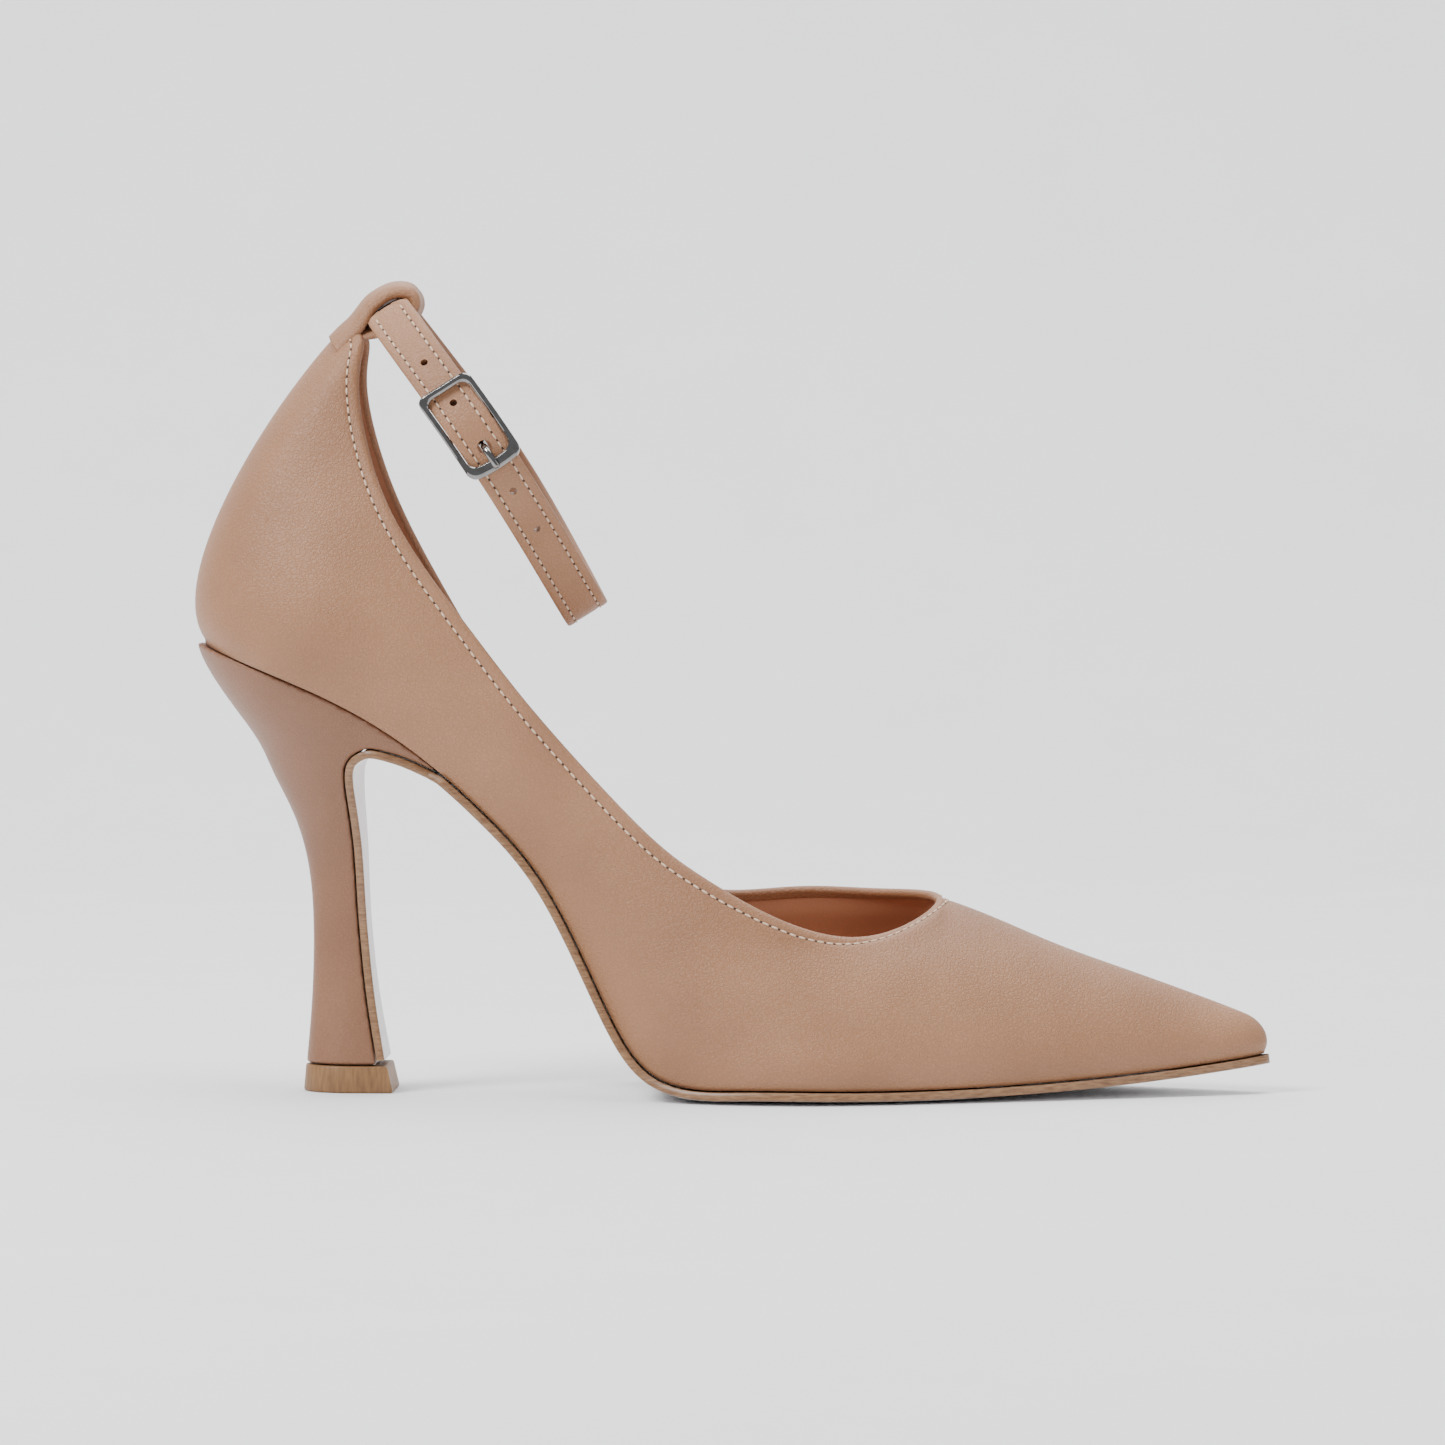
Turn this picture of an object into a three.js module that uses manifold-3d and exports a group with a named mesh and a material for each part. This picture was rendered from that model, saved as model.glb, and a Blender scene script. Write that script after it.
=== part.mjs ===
// An ankle-strap pump for the right foot: pointed toe, closed heel, covered high heel.
// Millimetres. +X to the toe, +Y to the inner side of the foot, +Z up, ground at z = 0.

import * as THREE from 'three';
import { mergeVertices } from 'three/addons/utils/BufferGeometryUtils.js';
import Module from 'manifold-3d';

const wasm = await Module();
wasm.setup();

// ---------- driving dimensions ----------
const soleLength = 224.4;      // back of the heel seat to the toe tip, along X
const seatHeight = 94.8;       // back of the heel seat above the ground
const treadWidth = 70.5;       // feather edge to feather edge across the ball
const leather = 1.0;           // upper leather
const lining = 0.7;            // lining leather
const stiffener = 0.9;         // toe puff and heel counter
const gap = 0.3;               // between pieces that are glued or nailed together
const lastingMargin = 9;       // upper turned under the insole
const insoleBoard = 2.0;
const shankThickness = 1.0;
const shankWidth = 12;
const sockLining = 0.7;
const heelPadHeight = 2.6;
const waistSole = 2.0;         // outsole under the arch and down the heel breast
const treadSole = 3.1;         // outsole under the ball
const toeSole = 2.0;           // outsole under the toe
const liftHeight = 5.7;        // top lift of the heel
const coverLeather = 0.9;      // leather round the heel block
const tubeRadius = 2.2;        // steel tube in the heel
const tubeBore = 1.4;
const pinRadius = 1.1;         // pin of the top lift
const nailRadius = 0.8;
const screwRadius = 1.8;
const rivetRadius = 1.5;
const strapWidth = 9.8;
const strapPly = 0.8;          // each of the strap's two plies
const strapLoopLength = 75;    // back to front of the closed strap
const strapLoopWidth = 50;
const strapSlope = 57.9;       // fall of the strap from the tunnel, in degrees
const punchPitch = 10;         // holes in the strap
const punchRadius = 0.95;
const barRadius = 0.7;         // centre bar of the buckle
const frameLength = 20.8;
const frameThickness = 1.2;
const railWidth = 0.9;
const prongRadius = 0.6;
const tunnelHalfWidth = 6.5;
const tunnelWall = 2.75;

// The shape tables below are drawn for this size, and follow the driving dimensions.
const pattern = { length: 224.4, seat: 94.8, tread: 70.5, strap: 9.8 };
const lengthRatio = soleLength / pattern.length;
const widthRatio = treadWidth / pattern.tread;
const heelRatio = seatHeight / pattern.seat;

// ---------- splines ----------
function naturalSpline(xs, ys) {
  const n = xs.length;
  const second = new Array(n).fill(0);
  const work = new Array(n).fill(0);
  for (let i = 1; i < n - 1; i += 1) {
    const share = (xs[i] - xs[i - 1]) / (xs[i + 1] - xs[i - 1]);
    const pivot = share * second[i - 1] + 2;
    const bend = (ys[i + 1] - ys[i]) / (xs[i + 1] - xs[i]) - (ys[i] - ys[i - 1]) / (xs[i] - xs[i - 1]);
    second[i] = (share - 1) / pivot;
    work[i] = (6 * bend / (xs[i + 1] - xs[i - 1]) - share * work[i - 1]) / pivot;
  }
  second[n - 1] = 0;
  for (let i = n - 2; i >= 0; i -= 1) {
    second[i] = second[i] * second[i + 1] + work[i];
  }
  second[0] = 0;
  const at = (x) => {
    let k = 0;
    while (k < n - 2 && x > xs[k + 1]) k += 1;
    const h = xs[k + 1] - xs[k];
    const a = (xs[k + 1] - x) / h;
    const b = (x - xs[k]) / h;
    const curve = (a ** 3 - a) * second[k] + (b ** 3 - b) * second[k + 1];
    return a * ys[k] + b * ys[k + 1] + curve * h * h / 6;
  };
  return at;
}

// A spline through rows of numbers, by row index; a loop runs on past its ends.
function rowSpline(rows, looped = false) {
  const wrap = looped ? 4 : 0;
  const n = rows.length;
  const index = [];
  for (let i = -wrap; i < n + wrap; i += 1) index.push(i);
  const columns = rows[0].map((_, c) => naturalSpline(index, index.map((i) => rows[(i + n) % n][c])));
  return (u) => columns.map((column) => column(u));
}

const smooth = (x, from, to) => THREE.MathUtils.smoothstep(x, Math.min(from, to), Math.max(from, to));
const fade = (x, from, to) => (from < to ? smooth(x, from, to) : 1 - smooth(x, from, to));

// ---------- the sole line: height of the feather edge over X ----------
const soleTable = [
  [-111.2, 94.8], [-97, 89.5], [-81, 82.6], [-66, 73.3], [-49, 58.4], [-37, 43.7], [-27, 24.3],
  [-19.4, 10.2], [-10.5, 3.9], [2, 3.1], [30, 3.0], [67, 3.9], [95, 6.2], [113.2, 8.5],
];
const treadHeight = 3.1;
const patternSole = naturalSpline(soleTable.map((p) => p[0]), soleTable.map((p) => p[1]));
const heelRise = (x) => (heelRatio - 1) * Math.max(patternSole(x) - treadHeight, 0);
const soleZ = (x) => {
  const patternX = x / lengthRatio;
  return patternSole(patternX) + heelRise(patternX);
};

function soleNormal(x) {
  const step = 0.05;
  const slope = (soleZ(x + step) - soleZ(x - step)) / (2 * step);
  return new THREE.Vector3(-slope, 0, 1).normalize();
}

// Extra clearance between the plates where the sole bends behind the ball.
const bendEase = (x) => 0.42 * Math.exp(-(((x / lengthRatio + 16) / 12) ** 2));

// A point of the sole: place along X, across Y, and height h above the feather surface.
function onSole(x, y, h = 0) {
  return new THREE.Vector3(x, y, soleZ(x)).addScaledVector(soleNormal(x), h);
}

// ---------- ribs: one row for each station from the toe tip to the back of the heel ----------
// foot: x, outer y, inner y.  shape: rise and flare at the foot, reach and drop at the top.
const footTable = [
  [113.2, 1, 1], [109.5, -3.4, 4.8], [101, -7.3, 8.6], [87, -13, 14.8], [70, -19.7, 22], [53, -26, 28.4],
  [36, -31.6, 33], [18, -35.4, 34.6], [0, -33.8, 31.4], [-14, -28.6, 26.2], [-27, -23.8, 22.2],
  [-40, -21.2, 20.2], [-55, -20.9, 20.3], [-70, -22.4, 22], [-85, -23.6, 23.4], [-95, -21.8, 21.6],
  [-102, -17.6, 17.4], [-107, -12.4, 12.2], [-110.2, -6.4, 6.4], [-111.2, 0, 0],
];
const shapeTable = [
  [3, 1.2, 3.2, 0], [4, 1.6, 4, 0], [5, 2, 5.5, 0], [7.5, 2.6, 8.5, 0], [10, 3.2, 12, 0],
  [12.5, 3.8, 15, 0],
  [14, 4.2, 17, 0], [13, 4.2, 9, 6], [12, 4, 5, 8], [12, 4, 3, 10], [12, 4, 2, 12], [12, 4, 1.5, 12],
  [12, 4, 1.5, 12], [13, 4.2, 1.5, 14], [14, 4.8, 2, 15], [15, 5.8, 3, 14], [15, 7.2, 4, 12],
  [15, 8.8, 5.4, 9],
  [15, 10, 6.4, 7.4], [15, 10.5, 6.9, 6.8],
];
const ridgeTable = [
  [108.8, 1, 16.8], [103.5, 0.9, 18.9], [94, 0.8, 22.4], [82.5, 0.6, 26.5], [70, 0.4, 31],
  [56, 0.2, 36.7], [43.5, 0, 41.2],
];
const outerTopTable = [
  [31.6, -17.5, 34.9], [12.9, -26.6, 38.1], [-4.6, -27.6, 47.5], [-15.7, -26.4, 55.7], [-28.3, -25, 68.4],
  [-41.7, -24.2, 83.6], [-52.9, -23.6, 98.1], [-62.9, -21.8, 111.6], [-71.2, -18.4, 125.6],
  [-75.9, -13.6, 139.6], [-77.2, -10.4, 151], [-76.9, -7.8, 159.2], [-79.4, 0, 162.4],
];
const innerTopTable = [
  [31.5, 17, 42.3], [14, 25.6, 42.2], [-3, 27.4, 41.2], [-16.5, 26, 46.4], [-31.5, 24.8, 59.6],
  [-45.8, 24.2, 78.2], [-57, 23.6, 97], [-65, 21.6, 111.6], [-71.6, 18.2, 125.6],
  [-75.9, 13.6, 139.6], [-77.2, 10.4, 151], [-76.9, 7.8, 159.2],
];
const backStation = footTable.length - 1;
const throatStation = ridgeTable.length - 1;

const place = (x, y, z) => [x * lengthRatio, y * widthRatio, z + heelRise(x)];
const footRing = [
  ...footTable.map((row) => [row[0] * lengthRatio, row[1] * widthRatio]),
  ...footTable.slice(1, -1).reverse().map((row) => [row[0] * lengthRatio, row[2] * widthRatio]),
];
const shapeRing = [...shapeTable, ...shapeTable.slice(1, -1).reverse()];
const topRing = [ridgeTable[throatStation], ...outerTopTable, ...innerTopTable.slice().reverse()]
  .map((row) => place(...row));
const footAt = rowSpline(footRing, true);
const shapeAt = rowSpline(shapeRing, true);
const ridgeAt = rowSpline(ridgeTable.map((row) => place(...row)));
const toplineAt = rowSpline(topRing, true);
const ringLength = footRing.length;

function outwardAt(u) {
  const step = 0.02;
  const [ax, ay] = footAt(u - step);
  const [bx, by] = footAt(u + step);
  return new THREE.Vector3(by - ay, -(bx - ax), 0).normalize().negate();
}

// The top end of rib u: on the ridge ahead of the throat, on the topline behind it.
function topAt(u) {
  const fromTip = Math.min(u, ringLength - u);
  if (fromTip <= throatStation) return new THREE.Vector3(...ridgeAt(fromTip));
  return new THREE.Vector3(...toplineAt(u - throatStation));
}

// The direction in which rib u leaves its top end: level with the ridge ahead of the throat.
function topOutward(u) {
  const fromTip = Math.min(u, ringLength - u);
  const out = outwardAt(u);
  if (fromTip >= throatStation) return out;
  const step = 0.1;
  const ahead = new THREE.Vector3(...ridgeAt(Math.max(fromTip - step, 0)));
  const along = ahead.sub(new THREE.Vector3(...ridgeAt(fromTip + step))).normalize();
  return along.multiplyScalar(out.x).add(new THREE.Vector3(0, out.y, 0)).normalize();
}

// Stations down one side: close together at the toe, the bend of the ball and round the heel.
const sideStations = [];
for (let u = 0; u <= backStation; u += 0.5) {
  const fine = u < 2 || u > 8;
  if (fine || Number.isInteger(u)) sideStations.push(u);
}

// The margin turned under the insole, the rounded feather edge, then the wall up to the top.
const wallSteps = [0, 0.06, 0.22, 0.42, 0.64, 0.84, 1];
const featherRadius = 0.9;

function ribPoints(u) {
  const [x, y] = footAt(u);
  const out = outwardAt(u);
  const [rise, flare, reach, drop] = shapeAt(u);
  const start = onSole(x, y, featherRadius);
  const top = topAt(u);
  const up = top.clone().sub(start).normalize();
  const steep = up.clone().addScaledVector(out, -up.dot(out)).normalize();
  const first = start.clone().addScaledVector(steep, rise).addScaledVector(out, flare);
  const second = top.clone().addScaledVector(up, -drop).addScaledVector(topOutward(u), reach);
  const wall = new THREE.CubicBezierCurve3(start, first, second, top);
  const inset = (distance) => onSole(x - out.x * distance, y - out.y * distance);
  const marginDepth = Math.min(lastingMargin, Math.hypot(footAt(0)[0] - x, y) + 3);
  return [inset(marginDepth), inset(featherRadius), ...wallSteps.map((t) => wall.getPoint(t))];
}

// ---------- the leather sheet: a grid of ribs round the shoe, closed along the ridge ----------
const marginRow = 0;
const wallRow = 2;
const lowWallRow = 3;
const topRow = wallRow + wallSteps.length - 1;
const splitStation = 9;
const splitGap = 0.012;

function stationList() {
  const half = [...sideStations, splitStation + splitGap * 2];
  half.sort((a, b) => a - b);
  const mirrored = half.slice(1, -1).reverse().map((u) => ringLength - u);
  return [...half, ...mirrored];
}

function buildSheet() {
  const stations = stationList();
  const points = [];
  const index = stations.map(() => []);
  stations.forEach((u, i) => {
    ribPoints(u).forEach((point, row) => {
      const twin = stations.findIndex((v) => Math.abs(v - (ringLength - u)) < 1e-9);
      const shared = row === topRow && u > ringLength / 2 && ringLength - u <= throatStation;
      if (shared) {
        index[i][row] = index[twin][row];
        return;
      }
      index[i][row] = points.length;
      points.push(point);
    });
  });
  const faces = [];
  stations.forEach((u, i) => {
    const next = (i + 1) % stations.length;
    for (let row = marginRow; row < topRow; row += 1) {
      const corners = [index[i][row], index[i][row + 1], index[next][row + 1], index[next][row]];
      faces.push({ u, nextU: stations[next] || ringLength, row, corners });
    }
  });
  return { points, faces, normals: sheetNormals(points, faces) };
}

function triangles(corners) {
  const [a, b, c, d] = corners;
  const list = [];
  if (a !== b && b !== c && c !== a) list.push([a, b, c]);
  if (a !== c && c !== d && d !== a) list.push([a, c, d]);
  return list;
}

function sheetNormals(points, faces) {
  const normals = points.map(() => new THREE.Vector3());
  const edgeA = new THREE.Vector3();
  const edgeB = new THREE.Vector3();
  faces.flatMap((face) => triangles(face.corners)).forEach(([a, b, c]) => {
    edgeA.subVectors(points[b], points[a]);
    edgeB.subVectors(points[c], points[a]);
    const area = edgeA.cross(edgeB);
    [a, b, c].forEach((k) => normals[k].add(area));
  });
  return normals.map((normal) => normal.normalize());
}

// A solid between two depths below the sheet, over the faces that the test keeps.
function sheetLayer(sheet, keep, outerDepth, innerDepth) {
  const kept = sheet.faces.filter(keep).flatMap((face) => triangles(face.corners));
  const used = [...new Set(kept.flat())];
  const order = new Map(used.map((k, i) => [k, i]));
  const positions = [];
  [outerDepth, innerDepth].forEach((depth) => used.forEach((k) => {
    const point = sheet.points[k].clone().addScaledVector(sheet.normals[k], -depth);
    positions.push(point.x, point.y, point.z);
  }));
  const indices = [];
  const inner = used.length;
  const edges = new Map();
  kept.forEach(([a, b, c]) => {
    const [i, j, k] = [order.get(a), order.get(b), order.get(c)];
    indices.push(i, j, k, i + inner, k + inner, j + inner);
    [[i, j], [j, k], [k, i]].forEach(([p, q]) => edges.set(`${p}_${q}`, [p, q]));
  });
  edges.forEach(([p, q]) => {
    if (edges.has(`${q}_${p}`)) return;
    indices.push(q, p, p + inner, q, p + inner, q + inner);
  });
  return geometryFrom(positions, indices);
}

function geometryFrom(positions, indices) {
  const geometry = new THREE.BufferGeometry();
  geometry.setAttribute('position', new THREE.Float32BufferAttribute(positions, 3));
  geometry.setIndex(indices);
  return geometry;
}

// ---------- plates that follow the sole ----------
// Rows narrower than this are left out, because the two sides would cross at the toe.
const narrowestRow = 1.5;
// An outline inset from the feather edge, as pairs of outer and inner points at each station.
function insetOutline(inset, fromX, toX) {
  const side = (v) => {
    const [x, y] = footAt(v);
    const out = outwardAt(v);
    return [x - out.x * inset, y - out.y * inset];
  };
  const pairs = sideStations.map((u) => [side(u), side(ringLength - u)]);
  const wideEnough = ([a, b]) => inset < 0 || b[1] - a[1] > narrowestRow;
  return pairs.filter((pair) => pair[0][0] <= fromX && pair[0][0] >= toX && wideEnough(pair));
}

// A plate of crosswise rows, from pairs of outer and inner points and the heights of its faces at x.
function soleplate(pairs, lowFace, highFace) {
  const across = [0, 0.5, 1];
  const positions = [];
  [lowFace, highFace].forEach((height) => pairs.forEach(([outer, inner]) => across.forEach((share) => {
    const x = outer[0] + (inner[0] - outer[0]) * share;
    const y = outer[1] + (inner[1] - outer[1]) * share;
    positions.push(...onSole(x, y, height(x)).toArray());
  })));
  return gridSolid(positions, pairs.length, across.length);
}

// A closed solid from two stacked grids of rows by columns, low grid first.
function gridSolid(positions, rows, columns) {
  const indices = [];
  const high = rows * columns;
  const at = (row, column) => row * columns + column;
  const quad = (a, b, c, d) => indices.push(a, b, c, a, c, d);
  for (let row = 0; row < rows - 1; row += 1) {
    for (let column = 0; column < columns - 1; column += 1) {
      const near = [at(row, column), at(row + 1, column)];
      const corners = [...near, near[1] + 1, near[0] + 1];
      quad(...corners);
      quad(...corners.slice().reverse().map((k) => k + high));
    }
    const left = [at(row, 0), at(row + 1, 0)];
    const right = [at(row, columns - 1), at(row + 1, columns - 1)];
    quad(left[1], left[0], left[0] + high, left[1] + high);
    quad(right[0], right[1], right[1] + high, right[0] + high);
  }
  for (let column = 0; column < columns - 1; column += 1) {
    const first = [at(0, column), at(0, column + 1)];
    const last = [at(rows - 1, column), at(rows - 1, column + 1)];
    quad(first[0], first[1], first[1] + high, first[0] + high);
    quad(last[1], last[0], last[0] + high, last[1] + high);
  }
  return outwardGeometry(geometryFrom(positions, indices));
}

// Turns a closed surface right side out, by the sign of its volume.
function outwardGeometry(geometry) {
  const position = geometry.getAttribute('position');
  const index = geometry.getIndex();
  const [a, b, c] = [new THREE.Vector3(), new THREE.Vector3(), new THREE.Vector3()];
  let volume = 0;
  for (let i = 0; i < index.count; i += 3) {
    a.fromBufferAttribute(position, index.getX(i));
    b.fromBufferAttribute(position, index.getX(i + 1));
    c.fromBufferAttribute(position, index.getX(i + 2));
    volume += a.dot(b.cross(c));
  }
  if (volume > 0) return geometry;
  const flipped = Array.from(index.array);
  for (let i = 0; i < flipped.length; i += 3) {
    [flipped[i + 1], flipped[i + 2]] = [flipped[i + 2], flipped[i + 1]];
  }
  geometry.setIndex(flipped);
  return geometry;
}

// ---------- booleans ----------
function manifoldOf(geometry) {
  const bare = geometry.clone();
  bare.deleteAttribute('normal');
  bare.deleteAttribute('uv');
  const merged = mergeVertices(bare, 1e-4);
  const vertProperties = new Float32Array(merged.getAttribute('position').array);
  const triVerts = new Uint32Array(merged.getIndex().array);
  return new wasm.Manifold(new wasm.Mesh({ numProp: 3, vertProperties, triVerts }));
}

// Booleans leave slivers thinner than this, which are taken out.
const sliver = 0.01;
function geometryOf(manifold) {
  const mesh = manifold.simplify(sliver).getMesh();
  return geometryFrom(Array.from(mesh.vertProperties), Array.from(mesh.triVerts));
}

const cutBy = (geometry, tools) => geometryOf(
  tools.reduce((solid, tool) => solid.subtract(manifoldOf(tool)), manifoldOf(geometry)),
);

// A cylinder from one point to another.
function rod(from, to, radius, sides = 16) {
  const length = from.distanceTo(to);
  const geometry = new THREE.CylinderGeometry(radius, radius, length, sides);
  const turn = new THREE.Quaternion().setFromUnitVectors(
    new THREE.Vector3(0, 1, 0),
    to.clone().sub(from).normalize(),
  );
  geometry.applyQuaternion(turn);
  const middle = from.clone().add(to).multiplyScalar(0.5);
  geometry.translate(middle.x, middle.y, middle.z);
  return geometry;
}

// A turned piece: profile of radius and distance along the line from one point towards another.
function turned(profile, from, to, sides = 16) {
  const geometry = new THREE.LatheGeometry(profile.map(([r, z]) => new THREE.Vector2(r, z)), sides);
  const axis = to.clone().sub(from).normalize();
  geometry.applyQuaternion(new THREE.Quaternion().setFromUnitVectors(new THREE.Vector3(0, 1, 0), axis));
  geometry.translate(from.x, from.y, from.z);
  const merged = geometry.clone();
  merged.deleteAttribute('normal');
  merged.deleteAttribute('uv');
  return outwardGeometry(mergeVertices(merged, 1e-5));
}

// ---------- the heel: horizontal sections, cut to its side profile ----------
// level: z, back x, front x, half width at the back, half width at the front.
const heelSections = [
  [5.7, -89.6, -70, 8.6, 8.4], [19, -88.5, -70, 6.9, 6.7], [30, -88.1, -70, 6.1, 6.1],
  [40, -88.3, -70, 6.4, 6.3],
  [51.4, -89.9, -70, 8.0, 7.8], [60.7, -93.2, -68, 11.4, 11], [67.5, -96.6, -60, 15.2, 18],
  [73.5, -99.4, -58, 18.2, 21.2], [79.6, -103.6, -58, 20.8, 21.4], [87.6, -109.2, -58, 22.9, 21.6],
  [94, -112.3, -58, 23.8, 21.6], [98, -113, -58, 23.9, 21.6],
];
// The line where the outsole meets the heel: along the wing, round the breast, down to the lift.
const breastTable = [
  [-60.8, 68.4], [-66.2, 70.9], [-70.7, 72.4], [-74.6, 73.1], [-77.4, 72.3], [-79.4, 70.6], [-80.4, 67.2],
  [-80.0, 60.7], [-79.1, 51.4], [-78.5, 39.8], [-77.6, 28.6], [-76.3, 18], [-74.2, 5.7],
];
const heelZ = (z) => liftHeight + (z - 5.7) * (seatHeight - liftHeight) / (pattern.seat - 5.7);
const heelX = (x) => x * lengthRatio;

function heelOutline([z, back, front, backHalf, frontHalf], inset) {
  const outline = [];
  const xBack = heelX(back) + inset;
  const xFront = heelX(front);
  const arcLength = (xFront - xBack) * 0.55;
  const arcHalf = (backHalf * widthRatio) - inset;
  const xArc = xBack + arcLength;
  const steps = 7;
  outline.push([xFront, -frontHalf * widthRatio + inset]);
  for (let i = 0; i <= steps * 2; i += 1) {
    const angle = Math.PI / 2 * (1 - i / steps);
    outline.push([xArc - arcLength * Math.cos(angle), -arcHalf * Math.sin(angle)]);
  }
  outline.push([xFront, frontHalf * widthRatio - inset]);
  return outline.map(([x, y]) => [x, y, heelZ(z)]);
}

function loft(outlines) {
  const count = outlines[0].length;
  const positions = outlines.flat(2);
  const indices = [];
  for (let level = 0; level < outlines.length - 1; level += 1) {
    for (let i = 0; i < count; i += 1) {
      const next = (i + 1) % count;
      const [a, b] = [level * count + i, level * count + next];
      indices.push(a, b, b + count, a, b + count, a + count);
    }
  }
  const last = (outlines.length - 1) * count;
  for (let i = 1; i < count - 1; i += 1) {
    indices.push(0, i + 1, i, last, last + i, last + i + 1);
  }
  return outwardGeometry(geometryFrom(positions, indices));
}

// A prism across the shoe from a side outline of x and z.
function sidePrism(outline, half = 60) {
  const shape = new THREE.Shape(outline.map(([x, z]) => new THREE.Vector2(x, z)));
  const geometry = new THREE.ExtrudeGeometry(shape, { depth: 2 * half, bevelEnabled: false });
  geometry.rotateX(Math.PI / 2);
  geometry.translate(0, half, 0);
  return geometry;
}

const breastSpline = rowSpline(breastTable.map(([x, z]) => [heelX(x), heelZ(z)]));
function breastLine(steps, offset = 0) {
  const line = [];
  for (let i = 0; i <= steps; i += 1) {
    const u = (breastTable.length - 1) * i / steps;
    const [x, z] = breastSpline(u);
    const [ax, az] = breastSpline(Math.max(u - 0.05, 0));
    const [bx, bz] = breastSpline(Math.min(u + 0.05, breastTable.length - 1));
    const length = Math.hypot(bx - ax, bz - az);
    line.push([x - (bz - az) / length * offset, z + (bx - ax) / length * offset]);
  }
  return line;
}

// Side outline of the heel: its seat under the upper, the wing, and the breast.
function heelProfile() {
  const seat = [];
  const steps = 12;
  const wingX = breastLine(1)[0][0];
  for (let i = 0; i <= steps; i += 1) {
    const x = -120 * lengthRatio + (wingX + 120 * lengthRatio) * i / steps;
    const point = onSole(Math.max(x, -112 * lengthRatio), 0, -gap - 0.15);
    if (x < -112 * lengthRatio) point.x = x;
    seat.push([point.x, point.z]);
  }
  const front = breastLine(30).filter(([x, z]) => z < soleZ(x) - gap - 0.4);
  front[front.length - 1][1] = liftHeight + gap;
  return [...seat, ...front, [-120 * lengthRatio, liftHeight + gap]];
}

const heelSolid = (inset) => manifoldOf(loft(heelSections.map((level) => heelOutline(level, inset))))
  .intersect(manifoldOf(sidePrism(heelProfile())));

const tubeFoot = new THREE.Vector3(heelX(-81.9), 0, liftHeight + gap);
const tubeTop = new THREE.Vector3(heelX(-85.2), 0, heelZ(57));
const tubeAxis = tubeTop.clone().sub(tubeFoot).normalize();
const alongTube = (distance) => tubeFoot.clone().addScaledVector(tubeAxis, distance);

// Fasteners through the insole into the heel: place on the sole, length below the seat.
const screwPlace = { x: -84, y: 0, depth: 17 };
const nailPlaces = [
  { x: -93, y: -7, depth: 10 },
  { x: -93, y: 7, depth: 10 },
  { x: -79, y: -11.5, depth: 7.5 },
  { x: -79, y: 11.5, depth: 7.5 },
];
const rivetPlaces = [{ x: -62, y: 0 }, { x: -26, y: 0 }];
const insoleLow = leather + gap;
const insoleTop = insoleLow + insoleBoard;
const atPlace = ({ x, y }, h) => onSole(x * lengthRatio, y * widthRatio, h);

const aboveInsole = insoleTop + 2;          // where every hole through the insole starts
const holeDown = (spot, low, radius, sides) => rod(
  atPlace(spot, low), atPlace(spot, aboveInsole), radius, sides,
);
const screwHole = () => holeDown(screwPlace, -screwPlace.depth - gap, screwRadius + gap);
const nailHole = (nail) => holeDown(nail, -nail.depth - gap, nailRadius + gap, 8);
const rivetHole = (spot) => holeDown(spot, -1, rivetRadius + gap, 12);

// The block stands off its cover by a little more than the usual gap, for the facets of both.
const coverGap = gap + 0.06;
function heelBlock() {
  const tools = [
    rod(alongTube(-3), alongTube(tubeTop.distanceTo(tubeFoot) + gap), tubeRadius + gap),
    screwHole(),
    ...nailPlaces.map(nailHole),
  ];
  return cutBy(geometryOf(heelSolid(coverLeather + coverGap)), tools);
}

// The room inside the cover: open in front, and running on past both ends of the heel.
function coverRoom() {
  const [pastLift, pastSeat, pastFront] = [-3, 5, 20];
  const outlines = heelSections.map(([z, ...rest], i) => {
    const past = { 0: pastLift, [heelSections.length - 1]: pastSeat }[i] || 0;
    const outline = heelOutline([z + past, ...rest], coverLeather);
    const beyond = ([x, y, height]) => [x + pastFront, y, height];
    return [beyond(outline[0]), ...outline, beyond(outline[outline.length - 1])];
  });
  return loft(outlines);
}

const heelCover = () => geometryOf(heelSolid(0).subtract(manifoldOf(coverRoom())));

function heelTube() {
  const length = tubeTop.distanceTo(tubeFoot);
  const wall = [[tubeBore, 0], [tubeRadius, 0], [tubeRadius, length], [tubeBore, length], [tubeBore, 0]];
  return turned(wall, tubeFoot, tubeTop);
}

const screwProfile = [
  [0, 0], [screwRadius, 1.5], [screwRadius, screwPlace.depth + insoleTop - 1.2],
  [3.4, screwPlace.depth + insoleTop - 0.2], [0, screwPlace.depth + insoleTop],
];
const heelScrew = () => turned(
  screwProfile, atPlace(screwPlace, -screwPlace.depth), atPlace(screwPlace, 0),
);

function heelNail(nail) {
  const length = nail.depth + insoleTop;
  const profile = [[0, 0], [nailRadius, 2], [nailRadius, length - 0.8], [1.5, length - 0.4], [0, length]];
  return turned(profile, atPlace(nail, -nail.depth), atPlace(nail, 0), 8);
}

const rivetProfile = [[0, 0.1], [rivetRadius, 0.1], [rivetRadius, 2.2], [2.4, 2.4], [2.4, 3.1], [0, 3.2]];
const shankRivet = (spot) => turned(rivetProfile, atPlace(spot, 0), atPlace(spot, 1), 12);

// ---------- top lift ----------
const liftTable = [[0, -90.2, -70.6, 9.2, 9.0], [5.7, -89.7, -71.9, 8.8, 8.6]];

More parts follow.
